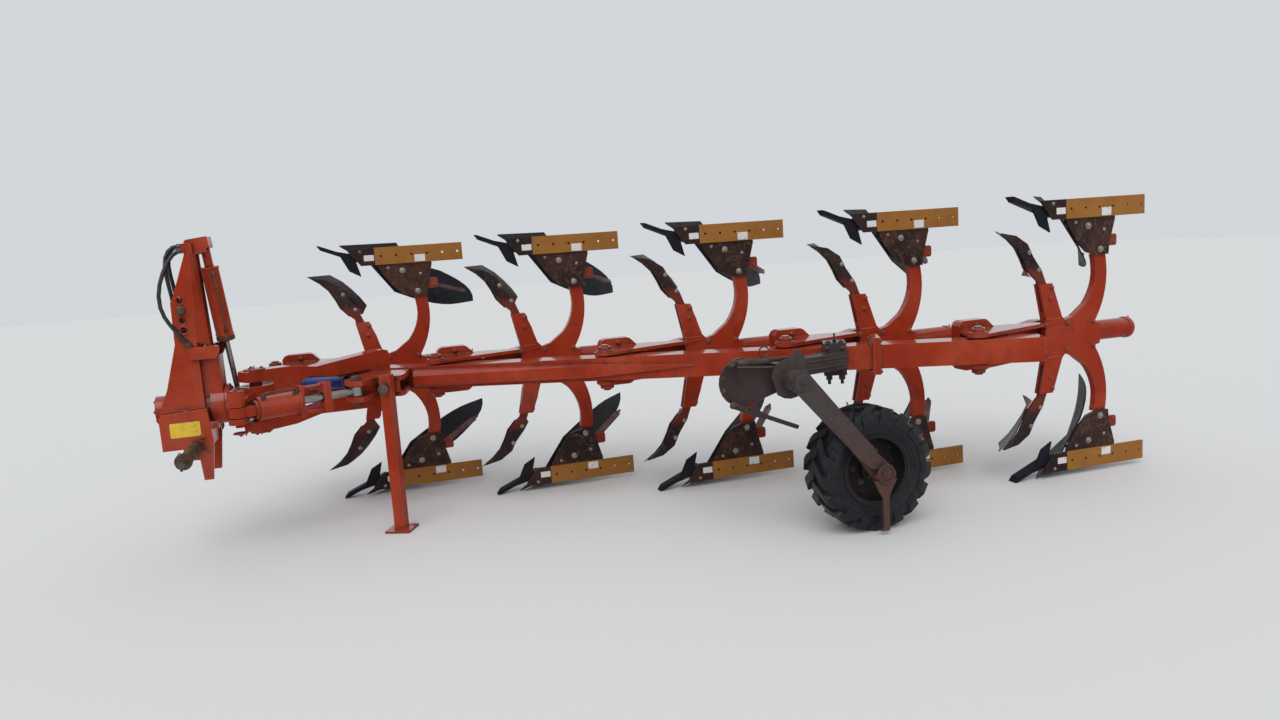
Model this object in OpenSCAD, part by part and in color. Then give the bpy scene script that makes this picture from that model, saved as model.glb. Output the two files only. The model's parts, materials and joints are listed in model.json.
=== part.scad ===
// Five-furrow reversible mounted plough with stepwise working width.
// X runs rearwards, Y to the right of travel, Z up, from the floor under the middle of the
// machine. Places along X are measured from the front of the headstock and shifted at the end.

/* [Layout] */
// Distance between two bodies along the beam
interbody = 1020; // [960:10:1060]
// Width of one furrow as the plough stands
furrow_w = 436; // [420:1:450]
// From the mid-plane of the plough to the sole of a landside
half_height = 772; // [760:1:800]
// How far the share points reach past the soles
point_drop = 33; // [28:1:36]
// From the front of the headstock back to the front of the first landside
first_body_x = 1130; // [1120:1:1140]
// From the turnover axis to the first landside, sideways
first_body_y = 753; // [740:1:765]

/* [Beam] */
// Height of the beam tube
beam_h = 130; // [120:1:134]
// Width of the beam tube
beam_w = 150; // [140:1:156]
// From the line of the landsides to the middle of the beam
beam_offset = 345; // [335:1:355]
// How far the beam reaches behind the last body pivot
beam_tail = 322; // [300:2:340]
// How far the beam reaches ahead of the first body pivot
beam_nose = 88; // [80:1:95]
// Radius of the pins that the body carriers turn on
carrier_pin_r = 28; // [24:1:32]
// From the fourth carrier pivot back to the bolted joint of the beam
splice_back = 480; // [470:2:490]
// From the first landside's front back to where the stiffener runs out
stiffener_end = 2000; // [1900:10:2050]

/* [Body carriers] */
// From a landside front back to its carrier pivot, along the beam
pivot_back = 550; // [540:1:560]
// Height of the hump on a carrier above the beam's middle
hump_h = 140; // [130:1:146]
// From a landside's front forward to the front of the hump
hump_front = 622; // [610:1:630]
// Width of the hump and of the bar behind it
hump_w = 76; // [70:1:80]
// Thickness of the flat arms above and below the beam
arm_t = 20; // [16:1:24]
// Gap between a carrier arm and the beam
arm_gap = 7; // [6:0.5:9]
// Thickness of the leg and cross plate
leg_t = 40; // [34:1:46]
// Outer radius of a leg's curve
leg_outer_r = 507; // [495:1:520]
// Width of a leg at its frog
leg_w = 76; // [68:1:84]

/* [Plough bottoms] */
// Length of a landside
landside_len = 541; // [520:1:560]
// Height of a landside
landside_h = 109; // [100:1:116]
// Thickness of a landside
landside_t = 12; // [10:1:12]
// Radius of the bolt holes in a landside
landside_hole_r = 7; // [5:0.5:9]
// Thickness of a frog plate
frog_t = 18; // [14:1:20]
// Thickness of a moldboard
moldboard_t = 8; // [6:0.5:10]
// Height of a moldboard's tail above its sole
moldboard_h = 418; // [400:1:430]
// Angle of the share to the line of travel
share_angle = 45; // [43:0.5:46]
// Thickness of a share
share_t = 11; // [9:0.5:12]
// Width of a share point bar
point_w = 60; // [50:1:64]
// Thickness of a share point bar
point_t = 24; // [20:1:26]

/* [Skimmers] */
// Thickness of a skimmer shank
shank_t = 22; // [18:1:24]
// Thickness of a skimmer board
skimmer_t = 7; // [5:0.5:8]
// Width across a skimmer board
skimmer_w = 165; // [140:1:175]

/* [Headstock] */
// Height of the tower above the turnover axis
tower_h = 800; // [780:5:820]
// Distance between the outer faces of the tower plates
tower_w = 200; // [190:1:210]
// Thickness of a tower plate
tower_t = 14; // [12:1:16]
// Radius of the top link pin holes
toplink_r = 16; // [12.5:0.5:17]
// Distance between two top link holes
toplink_pitch = 51; // [48:1:54]
// Width of the box at the foot of the tower
foot_w = 280; // [270:2:290]
// From the front of the headstock back to the hitch shaft
hitch_x = 150; // [145:1:155]
// Height of the hitch shaft below the turnover axis
hitch_drop = 190; // [185:1:200]
// Distance between the lower link pins, face to face
hitch_span = 965; // [900:1:1000]
// Radius of the lower link pins
hitch_pin_r = 18.3; // [14:0.1:18.3]
// Radius of the hitch shaft
hitch_shaft_r = 32; // [28:1:36]
// Radius of the turnover shaft
turn_shaft_r = 60; // [55:1:65]
// Radius of the turnover bearing's rear flange
flange_r = 100; // [96:1:104]

/* [Turnover cylinder] */
// Outer radius of the barrel
turn_barrel_r = 43; // [42:1:46]
// Bore radius of the barrel
turn_bore_r = 39.5; // [38.5:0.5:40]
// Radius of the rod
turn_rod_r = 14; // [12:1:15]
// Crank radius of its foot pin
turn_crank = 90; // [86:1:94]
// How far the foot pin lies behind the head pin
turn_slant = 62; // [56:1:66]

/* [Memory cylinder] */
// Outer radius of the barrel
mem_barrel_r = 58; // [54:1:60]
// Radius of the rod
mem_rod_r = 20; // [17:1:22]
// Radius of its pins
mem_pin_r = 20; // [18:0.5:22]
// From the foot pin to the cylinder's end flange
mem_flange_at = 310; // [300:1:315]
// From the foot pin to the far face of the crosshead
mem_cross_at = 480; // [470:1:485]

/* [Depth wheel] */
// Outer radius of the tyre
tyre_r = 310; // [300:1:320]
// Width of the tyre
tyre_w = 230; // [210:1:240]
// Radius of the rim's edge
rim_r = 178; // [172:1:184]
// Length of the wheel arm
wheel_arm = 647; // [630:1:660]
// From the fourth carrier pivot back to the wheel clamp
clamp_back = 260; // [255:1:265]
// Radius of the half disc that the stop screws hinge on
stop_disc_r = 120; // [115:1:125]
// Number of lugs on each side of the tread
tyre_lugs = 17; // [13:1:21]
// Height of a tread lug
lug_h = 20; // [14:1:24]
// Width of a lug at its foot
lug_w = 44; // [36:1:50]

/* [Parking stand] */
// Width of the stand's square tube
stand_w = 60; // [50:1:66]
// Length of the stand above its pivot
stand_top = 75; // [60:1:80]
// Width of the stand's foot plate
stand_foot = 140; // [120:1:150]
// From the beam's left face out to the middle of the stand
stand_out = 337; // [330:1:345]

/* [Hoses] */
// Outer radius of a hydraulic hose
hose_r = 10; // [8:0.5:10.5]

/* [Hidden] */
$fn = 48;
orange = [0.78, 0.25, 0.10];
dark = [0.17, 0.13, 0.12];
black = [0.08, 0.08, 0.10];
tan_steel = [0.62, 0.40, 0.18];
steel = [0.55, 0.55, 0.56];
blue = [0.12, 0.17, 0.55];

mid_z = half_height + point_drop;
beam_angle = asin(furrow_w / interbody);
pitch_x = interbody * cos(beam_angle);
run = 0.3;
carrier_pin_z = beam_h / 2 + arm_gap + arm_t + 10;

// Places a piece in the frame of body i, with its sole upwards and z = 0 at the mid-plane.
module at_body(i)
    translate([first_body_x + i * pitch_x, first_body_y - i * furrow_w, mid_z]) children();

// Places a piece in the beam's frame: X along the beam, Y away from the landside line.
module at_beam()
    translate([first_body_x, first_body_y, mid_z]) rotate([0, 0, -beam_angle]) children();

// The upper set and its twin below the mid-plane.
module both_sets() {
    children();
    mirror([0, 0, 1]) children();
}

// A flat plate drawn in X and Z, from y = y0 with thickness t.
module plate(points, y0, t)
    translate([0, y0 + t, 0]) rotate([90, 0, 0]) linear_extrude(t) polygon(points);

// A round bar between two points.
module bar(a, b, r) {
    d = b - a;
    len = norm(d);
    translate(a) rotate([0, acos(d[2] / len), atan2(d[1], d[0])]) cylinder(h = len, r = r);
}

// A closed sheet from a grid of points, thickened along one vector. Seen against that
// vector, rows run down and columns to the left.
module sheet(grid, thick) {
    rows = len(grid);
    cols = len(grid[0]);
    n = rows * cols;
    front = [for (row = grid) for (p = row) p];
    back = [for (p = front) p + thick];
    faces = concat(
        [for (i = [0 : rows - 2]) for (j = [0 : cols - 2])
            [i * cols + j, i * cols + j + 1, (i + 1) * cols + j + 1]],
        [for (i = [0 : rows - 2]) for (j = [0 : cols - 2])
            [i * cols + j, (i + 1) * cols + j + 1, (i + 1) * cols + j]],
        [for (i = [0 : rows - 2]) for (j = [0 : cols - 2])
            [n + i * cols + j, n + (i + 1) * cols + j + 1, n + i * cols + j + 1]],
        [for (i = [0 : rows - 2]) for (j = [0 : cols - 2])
            [n + i * cols + j, n + (i + 1) * cols + j, n + (i + 1) * cols + j + 1]],
        [for (j = [0 : cols - 2]) each quad(j + 1, j, n + j, n + j + 1)],
        [for (j = [0 : cols - 2]) let (k = (rows - 1) * cols) each quad(k + j, k + j + 1, n + k + j + 1, n + k + j)],
        [for (i = [0 : rows - 2]) each quad(i * cols, (i + 1) * cols, n + (i + 1) * cols, n + i * cols)],
        [for (i = [0 : rows - 2]) let (k = cols - 1)
            each quad((i + 1) * cols + k, i * cols + k, n + i * cols + k, n + (i + 1) * cols + k)]);
    polyhedron(concat(front, back), faces);
}
function quad(a, b, c, d) = [[a, b, c], [a, c, d]];

// Plough bottoms. Heights in this section are measured from the sole towards the beam.
shin_foot = [-50, 80];
shin_lean = 0.72;
shin_top_h = 285;
moldboard_y = landside_t + 7;
function shin_x(h) = shin_foot[0] + shin_lean * (h - shin_foot[1]);
function gen_angle(h) = share_angle - 1 + 9 * pow(h / moldboard_h, 2);
// Lower and upper edge of the moldboard at a share u of its length.
function board_low(u) = 88 + 95 * u * u;
function board_top(u) = shin_top_h + (moldboard_h - shin_top_h) * (1 - pow(1 - min(1, u / 0.75), 2.2));
function board_end(v) = 560 + 200 * sin(115 * v);
function board_point(u, v) =
    let (h = board_low(u) + v * (board_top(u) - board_low(u)),
         s = u * board_end(v),
         a = gen_angle(h))
    [shin_x(h) + s * cos(a), moldboard_y + s * sin(a), half_height - h];
board_cols = 8;
board_rows = 6;

module moldboard()
    sheet([for (j = [board_rows : -1 : 0]) [for (i = [0 : board_cols])
        board_point(i / board_cols, j / board_rows)]],
        moldboard_t * [sin(share_angle), -cos(share_angle), 0.3]);

// Share: cutting edge to the lower edge of the moldboard, with the point bar on top.
edge_drop = point_drop - 4;
share_len = 500;
function share_point(u, v) =
    let (low = [-205 + u * share_len * cos(share_angle), moldboard_y + u * share_len * sin(share_angle),
                half_height + edge_drop - 2],
         top = board_point(u * 0.62, 0) + [-2, 2, 3])
    low + v * (top - low);

module share() {
    sheet([for (j = [0, 1]) [for (i = [0 : 3]) share_point(i / 3, j)]],
        share_t * [sin(share_angle) * 0.5, -cos(share_angle) * 0.5, -0.8]);
    // The reversible point bar, ground to a chisel at its tip.
    plate([[-340, half_height + point_drop], [-325, half_height + point_drop - 2],
           [-70, half_height - 73], [-80, half_height - 73 - point_t],
           [-318, half_height + point_drop - point_t - 6]], moldboard_y, point_w);
    // The fin that rises from the point towards the beam.
    plate([[-222, half_height - 10], [-160, half_height - 138], [-91, half_height - 177],
           [-120, half_height - 60], [-140, half_height - 30]], moldboard_y, 12);
}

module bottom() {
    moldboard();
    share();
}

module landside_bar()
    difference() {
        translate([0, 0, half_height - landside_h]) cube([landside_len, landside_t, landside_h]);
        for (k = [0 : 5])
            translate([36 + 95 * k, -1, half_height - landside_h / 2])
                rotate([-90, 0, 0]) cylinder(h = landside_t + 2, r = landside_hole_r);
    }

frog_low = half_height - landside_h - 14;
frog_top = half_height - 322;
module frog() {
    // Landside carrier behind the bar and the black front piece ahead of it.
    plate([[25, half_height - 6], [330, half_height - 6], [345, frog_low], [305, half_height - 267],
           [300, frog_top], [216, frog_top], [150, frog_top + 20], [85, half_height - 237],
           [40, half_height - 172], [10, half_height - 112]], landside_t, frog_t);
    plate([[0, half_height], [0, half_height - landside_h], [-86, half_height - landside_h],
           [-150, half_height - 30], [-165, half_height]], 0, landside_t);
    // Stay from the frog to the tail of the moldboard.
    bar([300, landside_t + frog_t - 4, half_height - 242], [575, 395, half_height - 332], 9);
}

// One leg, the arm of the skimmer and a quarter of the cross plate, as one outline.
leg_centre = [-203, half_height - 422];
function leg_in(a) = leg_outer_r - leg_w - 40 * pow(max(0, -a) / 30, 1.5);
leg_out_pts = [for (a = [-36 : 5 : 14]) leg_centre + leg_outer_r * [cos(a), sin(a)]];
leg_in_pts = [for (a = [14 : -5 : -26]) leg_centre + leg_in(a) * [cos(a), sin(a)]];
module leg_plate()
    plate(concat([[-117, -1], [258, -1], [258, 58], [222, 66]], leg_out_pts, leg_in_pts,
        [[70, 112], [16, 96], [-16, 130], [-40, 220], [-78, 312], [-96, 312], [-62, 180], [-80, 130],
         [-117, 100]]), landside_t + frog_t, leg_t);

channel_t = leg_t + 10;
module skimmer_channel()
    plate([[-117, 70], [-118, 110], [-160, 312], [-75, 312], [-20, 150], [0, 90]],
          landside_t + frog_t - 5, channel_t);
module shank_slot()
    plate([[-220, 150], [-60, 150], [-66, 180], [-95, 320], [-220, 320]],
          landside_t + frog_t - 5 + (channel_t - shank_t) / 2 - run, shank_t + 2 * run);

module carrier_arm() {
    // Flat arm from the beam's pin to the hump and to the cross plate.
    translate([0, 0, beam_h / 2 + arm_gap]) linear_extrude(arm_t)
        polygon(concat([for (a = [120 : 30 : 300]) [pivot_x, pivot_y] + 60 * [cos(a), sin(a)]],
            [[-90, 32], [-90, 68], [-300, hump_y - 10], [60 - hump_front, hump_y + 30],
             [20 - hump_front, hump_y + 20]]));
    // Hump and the bar that runs back from it to the trip cylinder.
    plate([[-hump_front, -1], [-hump_front, hump_h - 28], [14 - hump_front, hump_h - 8],
           [34 - hump_front, hump_h], [166 - hump_front, hump_h], [184 - hump_front, hump_h - 8],
           [-352, 45], [-100, 98], [-40, 98], [-8, 50], [-8, -1]], hump_y - hump_w / 2, hump_w);
}
// The carrier pivot in a body's frame.
pivot_x = -pivot_back * cos(beam_angle) - beam_offset * sin(beam_angle);
pivot_y = pivot_back * sin(beam_angle) - beam_offset * cos(beam_angle);
arm_angle = atan2(50 - pivot_y, -117 - pivot_x);
hump_y = 150;
tie_out = 225;
tie_x = pivot_x + tie_out * cos(arm_angle);
tie_y = pivot_y + tie_out * sin(arm_angle);
tie_pin_r = 15;
trip_r = 58;
trip_len = 594;

module carrier() {
    difference() {
        both_sets() carrier_arm();
        translate([pivot_x, pivot_y, -carrier_pin_z - run])
            cylinder(h = 2 * (carrier_pin_z + run), r = carrier_pin_r + run);
    }
    both_sets() difference() {
        union() {
            leg_plate();
            skimmer_channel();
        }
        shank_slot();
    }
    // Pin of the width tie rod, between the two arms.
    translate([tie_x, tie_y, -80]) cylinder(h = 160, r = tie_pin_r);
    // Trip cylinder behind the cross plate, with a rounded end.
    translate([-20, landside_t + frog_t + leg_t + 63, 0]) rotate([0, 90, 0])
        rotate_extrude() polygon(concat([[0, 0], [trip_r, 0]],
            [for (a = [0 : 18 : 90]) [trip_r - 34 + 34 * cos(a), trip_len - 34 + 34 * sin(a)]],
            [[0, trip_len]]));
    translate([-20, landside_t + frog_t + leg_t - 5, -40]) cube([60, 60, 80]);
    translate([180, landside_t + frog_t + leg_t - 5, -40]) cube([60, 60, 80]);
}

// Skimmer: shank in its channel, small board at its end.
skim_rows = [
    // height, x at the shin, x at the tail
    [618, -414, -285], [570, -345, -215], [520, -295, -165], [460, -262, -115], [405, -238, -80], [352, -190, -110]];
skim_y = landside_t + frog_t - 5 + (channel_t + shank_t) / 2 - 1.5;
module skimmer() {
    plate([[-118, 152], [-68, 152], [-100, 300], [-132, 385], [-190, 470], [-225, 540], [-300, 590], [-395, 610],
           [-338, 566], [-288, 518], [-256, 460], [-232, 405], [-184, 352], [-160, 330]],
          landside_t + frog_t - 5 + (channel_t - shank_t) / 2, shank_t);
    sheet([for (r = skim_rows) [for (j = [0 : 3])
        [r[1] + (r[2] - r[1]) * j / 3, skim_y + skimmer_w * j / 3 * (0.75 + 0.25 * j / 3), r[0]]]],
        skimmer_t * [-0.7, 0.7, 0.2]);
}

// Beam and what is fixed to it.
beam_front = -pivot_back - beam_nose;
beam_len = 4 * interbody + beam_nose + beam_tail;
beam_face = beam_offset + beam_w / 2;
splice_u = 3 * interbody - pivot_back + splice_back;
splice_t = 19;
module beam() {
    at_beam() {
        translate([beam_front, -beam_face, -beam_h / 2]) cube([beam_len, beam_w, beam_h]);
        // Two flanges that bolt the rear length of the beam to the front one.
        for (u = [splice_u - splice_t - 1, splice_u + 1])
            translate([u, -beam_face - 20, -beam_h / 2 - 30]) cube([splice_t, beam_w + 32, beam_h + 70]);
        for (i = [0 : 4])
            translate([i * interbody - pivot_back, -beam_offset, -carrier_pin_z])
                cylinder(h = 2 * carrier_pin_z, r = carrier_pin_r);
    }
}

module beam_stiffener()
    at_beam() translate([0, -beam_face, 0])
        hull() {
            translate([370, -30, -50]) cube([10, 30, 96]);
            translate([385, -70, -26]) cube([10, 34, 46]);
            translate([stiffener_end - 600, -40, -40]) cube([10, 40, 70]);
            translate([stiffener_end - 10, -4, -2]) cube([20, 4, 4]);
        }

// Yoke pivot and the pins of the memory cylinder.
yoke_x = 450;
yoke_y = -7;
arm_end_x = 1065;
arm_end_y = 400;
mem_foot = [400, -370];
mem_eye = [960, -55];
ear_t = 28;
ear_z = 30;

// A pair of flat ears, one on each side of the mid-plane.
module ears(points)
    for (z = [-ear_z - ear_t, ear_z]) translate([0, 0, z]) linear_extrude(ear_t) polygon(points);

front_len = norm([arm_end_x - yoke_x, arm_end_y - yoke_y]);
front_angle = atan2(arm_end_y - yoke_y, arm_end_x - yoke_x);
module front_arms()
    translate([yoke_x, yoke_y, mid_z]) both_sets()
        difference() {
            rotate([0, 0, front_angle])
                plate([[-70, 106], [-66, 160], [-50, 166], [180, 160], [330, 134], [520, 150],
                       [front_len + 30, 170], [front_len + 62, 160], [front_len + 70, 140],
                       [front_len + 70, beam_h / 2], [420, beam_h / 2], [330, 84], [180, 100]], -50, 100);
            translate([0, 0, -10]) cylinder(h = 300, r = 32 + run);
        }

yoke_front = 303;
foot_pin_r = 16;
module turnover_yoke() {
    translate([0, 0, mid_z]) {
        translate([-20, 0, 0]) rotate([0, 90, 0]) cylinder(h = yoke_front + 26, r = turn_shaft_r);
        // Flange that meets the bearing, with the foot pin of the turnover cylinder.
        translate([yoke_front, 0, 0]) rotate([0, 90, 0]) cylinder(h = 19, r = flange_r + 6);
        translate([yoke_front + 4, turn_crank, 0]) rotate([0, 90, 0]) cylinder(h = 20, r = 26);
        translate([yoke_front + 4, turn_crank, 0]) rotate([0, 90, 0]) cylinder(h = 70, r = foot_pin_r);
        // Casting back to the upright pin that the two front arms swing on.
        translate([0, 0, -78]) linear_extrude(156)
            polygon([[yoke_front + 8, -84], [360, -96], [440, -96], [440, 44], [352, 46],
                     [yoke_front + 8, 60]]);
        translate([yoke_x, yoke_y, -84]) cylinder(h = 168, r = 90);
        translate([yoke_x, yoke_y, -165]) cylinder(h = 330, r = 32);
        // Lever to the memory cylinder, with its clevis.
        ears([[yoke_front + 12, -60], [455, -60], [434, -250], mem_foot + [36, -16],
              mem_foot + [24, -40], mem_foot + [-28, -40], mem_foot + [-48, -12]]);
        translate([mem_foot[0], mem_foot[1], ear_z + ear_t - 6]) cylinder(h = 50, r = 42);
        translate([mem_foot[0], mem_foot[1], -75]) cylinder(h = 150, r = mem_pin_r);
    }
}

mem_dir = atan2(mem_eye[1] - mem_foot[1], mem_eye[0] - mem_foot[0]);
mem_len = norm(mem_eye - mem_foot);
tie_bar_z = 66;
mem_cross_t = 40;
module at_memory() translate([mem_foot[0], mem_foot[1], mid_z]) rotate([0, 0, mem_dir]) children();
module memory_barrel()
    at_memory()
        difference() {
            union() {
                translate([0, 0, -25]) cylinder(h = 50, r = 40);
                translate([0, -30, -25]) cube([90, 60, 50]);
                translate([78, 0, 0]) rotate([0, 90, 0]) cylinder(h = 20, r = 46);
                translate([94, 0, 0]) rotate([0, 90, 0]) cylinder(h = mem_flange_at - 94, r = mem_barrel_r);
                // End flange, the two tie bars and the crosshead that carries the stroke stop.
                translate([mem_flange_at - 4, -34, -tie_bar_z - 18]) cube([24, 68, 2 * tie_bar_z + 36]);
                for (z = [-tie_bar_z, tie_bar_z])
                    translate([mem_flange_at, 0, z]) rotate([0, 90, 0])
                        cylinder(h = mem_cross_at - mem_flange_at, r = 10);
                translate([mem_cross_at - mem_cross_t, -32, -tie_bar_z - 14])
                    cube([mem_cross_t, 64, 2 * tie_bar_z + 28]);
            }
            translate([0, 0, -40]) cylinder(h = 80, r = mem_pin_r + run);
            translate([120, 0, 0]) rotate([0, 90, 0]) cylinder(h = 400, r = mem_rod_r + 7);
        }
module memory_rod()
    at_memory()
        difference() {
            union() {
                translate([240, 0, 0]) rotate([0, 90, 0]) cylinder(h = mem_len - 260, r = mem_rod_r);
                translate([mem_len, 0, -25]) cylinder(h = 50, r = 36);
            }
            translate([mem_len, 0, -40]) cylinder(h = 80, r = mem_pin_r + run);
        }

// Bracket on the left face of the beam for the memory cylinder and the parking stand.
module cylinder_bracket() {
    at_beam() {
        ears([[110, -beam_face], [110, -stand_c - 23], [160, -stand_c - 88], [246, -stand_c - 88],
              [262, -stand_c - 3], [270, -stand_c + 57], [400, -stand_c + 67], [400, -stand_c + 117],
              [340, -beam_face]]);
        translate([stand_u - 45, -stand_c + 42, -ear_z]) cube([90, 30, 2 * ear_z]);
        translate([stand_u, -stand_c + 60, 0]) rotate([90, 0, 0]) cylinder(h = 110, r = stand_pin_r);
    }
    translate([mem_eye[0], mem_eye[1], mid_z - 75]) cylinder(h = 150, r = mem_pin_r);
}

// The stand's pin along the beam and away from the landside line.
stand_u = 345;
stand_c = beam_face + stand_out;
stand_pin_r = 22;
module parking_stand()
    at_beam() translate([stand_u, -stand_c, 0])
        difference() {
            union() {
                translate([-stand_w / 2, -stand_w / 2, -mid_z + 12]) cube([stand_w, stand_w, mid_z - 12 + stand_top]);
                translate([-stand_foot / 2, -stand_foot / 2, -mid_z]) cube([stand_foot, stand_foot, 12]);
            }
            rotate([90, 0, 0]) cylinder(h = 400, r = stand_pin_r + run, center = true);
        }

module offset_cylinder()
    at_beam() {
        translate([-300, -beam_face - 40, 0]) rotate([0, 90, 0]) cylinder(h = 260, r = 36);
        for (x = [-320, -50])
            translate([x, -beam_face - 70, -20]) cube([30, 70, 40]);
    }

module width_tie_rod()
    at_beam_tie() {
        difference() {
            union() {
                translate([0, -12, -20]) cube([4 * interbody, 24, 40]);
                for (i = [0 : 4]) translate([i * interbody, 0, -22]) cylinder(h = 44, r = 30);
            }
            for (i = [0 : 4]) translate([i * interbody, 0, -40]) cylinder(h = 80, r = tie_pin_r + run);
        }
    }
module at_beam_tie()
    translate([first_body_x + tie_x, first_body_y + tie_y, mid_z]) rotate([0, 0, -beam_angle]) children();

// Headstock, drawn about the turnover axis.
toplink_x = 155;
toplink_high = tower_h - 236;
fold_top = [229, tower_h];
fold_low = [207, 345];
slot_half = 50;
slot_top = [248, tower_h];
slot_low = [262, 318];
turn_x = 288;
turn_top = tower_h + 28;
turn_pin_r = 18;
collar_top = 321;
port_x = 187;
rest_top = 384;
module tower_side() {
    plate([[-10, -90], [-10, 0], [40, 111], [105, 341], [110, toplink_high - 8], [122, toplink_high + 11],
           [202, tower_h - 11], fold_top, fold_low, [207, -90]], -tower_w / 2, tower_t);
    // Folded panel towards the slot at the back of the tower.
    sheet([[[fold_top[0], -tower_w / 2, fold_top[1]], [slot_top[0], -slot_half, slot_top[1]]],
           [[fold_low[0], -tower_w / 2, fold_low[1]], [slot_low[0], -slot_half, slot_low[1]]]],
          [-tower_t, tower_t * 0.8, 0]);
    // Ear of the collar that ties the two sides together.
    plate([[172, 258], [158, collar_top], [309, collar_top], [309, 292], [292, 258]],
          -tower_w / 2 - 20, 22);
}
module tower_head()
    difference() {
        union() {
            plate([[203, tower_h - 16], [203, tower_h + 50], [240, tower_h + 50], [240, tower_h - 16]], -88, 176);
            plate([[203, tower_h - 16], [203, tower_h + 60], [212, tower_h + 68], [306, tower_h + 80],
                   [313, tower_h + 78], [318, tower_h + 34], [318, tower_h + 22], [302, tower_h + 22],
                   [302, tower_h]], -62, 124);
        }
        translate([236, -46, tower_h - 40]) cube([68, 92, 108]);
    }
module foot_box() {
    half = foot_w / 2;
    plate([[-10, -196], [-10, -28], [6, -6], [212, 4], [219, 2], [226, -90], [219, -196]], -half, foot_w);
    // Cheeks that carry the hitch shaft, with a strip that reaches below it.
    for (y = [-half, half - 18])
        plate([[84, -190], [96, -236], [124, -256], [158, -260], [165, -368], [209, -368], [234, -163],
               [226, -90]], y, 18);
    for (y = [-half, half - 26])
        translate([215, y, -105]) cube([52, 26, 38]);
}
module headstock()
    translate([0, 0, mid_z]) {
        difference() {
            union() {
                both_sides() tower_side();
                tower_head();
                foot_box();
                // Collar and column behind the plates.
                translate([184, -tower_w / 2 - 20, 258]) cube([84, tower_w + 40, collar_top - 258]);
                // Port block on the head and the rest between the plates, where the hoses end.
                translate([port_x, -64, tower_h + 2]) cube([20, 128, 48]);
                translate([104, -tower_w / 2 + 4, rest_top - 14]) cube([36, tower_w - 8, 14]);
                translate([205, -70, 40]) cube([92, 140, 226]);
                // Turnover bearing with its front cap and rear flange.
                translate([-35, 0, 0]) rotate([0, 90, 0]) cylinder(h = 80, r = 75);
                translate([20, 0, 0]) rotate([0, 90, 0]) cylinder(h = 220, r = 86);
                translate([233, 0, 0]) rotate([0, 90, 0]) cylinder(h = 66, r = flange_r);
            }
            for (k = [0 : 3])
                translate([toplink_x, -200, toplink_high - k * toplink_pitch]) rotate([-90, 0, 0])
                    cylinder(h = 400, r = toplink_r);
            translate([hitch_x, -300, -hitch_drop]) rotate([-90, 0, 0])
                cylinder(h = 600, r = hitch_shaft_r + run);
            translate([-20 - run, 0, 0]) rotate([0, 90, 0]) cylinder(h = 400, r = turn_shaft_r + run);
        }
        // Pin of the turnover cylinder, in the head.
        translate([230, 0, turn_top]) rotate([0, 90, 0]) cylinder(h = 80, r = turn_pin_r);
    }
module both_sides() {
    children();
    mirror([0, 1, 0]) children();
}

// Hydraulic hoses from the head: one loops outside the left plate down to the collar, and two
// drop between the plates. Places are from the headstock's front and the turnover axis.
outer_route = [[port_x, -46, tower_h + 16], [168, -47, 812], [142, -56, 794], [114, -68, 756],
    [92, -84, 706], [74, -98, 652], [64, -108, 594], [65, -111, 536], [78, -111, 486],
    [98, -111, 446], [122, -111, 406], [142, -111, 374], [160, -111, 346], [169, -111, 333],
    [172, -111, collar_top]];
inner_route = [[port_x, -20, tower_h + 36], [166, -21, 838], [142, -24, 834], [120, -30, 816],
    [105, -37, 784], [99, -44, 742], [100, -50, 696], [105, -54, 646], [111, -55, 596],
    [116, -55, 546], [118, -54, 496], [118, -53, 446], [118, -52, 408], [118, -52, rest_top]];
hose_sides = 8;
function heading(route, i) =
    i == 0 ? [-1, 0, 0] : i == len(route) - 1 ? [0, 0, -1]
    : (route[i + 1] - route[i - 1]) / norm(route[i + 1] - route[i - 1]);
function hose_ring(route, i) =
    let (t = heading(route, i), side = cross(t, [0, 1, 0]) / norm(cross(t, [0, 1, 0])), up = cross(side, t))
    [for (k = [0 : hose_sides - 1]) let (a = k * 360 / hose_sides)
        route[i] + hose_r * (cos(a) * side + sin(a) * up)];
module hose(route) {
    last = (len(route) - 1) * hose_sides;
    polyhedron([for (i = [0 : len(route) - 1]) each hose_ring(route, i)],
        concat([for (k = [1 : hose_sides - 2]) each [[0, k + 1, k], [last, last + k, last + k + 1]]],
            [for (i = [0 : len(route) - 2]) for (k = [0 : hose_sides - 1])
                let (a = i * hose_sides + k, b = i * hose_sides + (k + 1) % hose_sides)
                each quad(a, b, b + hose_sides, a + hose_sides)]));
}
module hydraulic_hoses()
    translate([0, 0, mid_z]) {
        hose(outer_route);
        both_sides() hose(inner_route);
    }

module hitch_shaft()
    translate([hitch_x, 0, mid_z - hitch_drop]) rotate([-90, 0, 0]) {
        translate([0, 0, -hitch_span / 2]) cylinder(h = hitch_span, r = hitch_shaft_r);
        translate([0, 0, -hitch_span / 2 - 90]) cylinder(h = hitch_span + 180, r = hitch_pin_r);
    }

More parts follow.
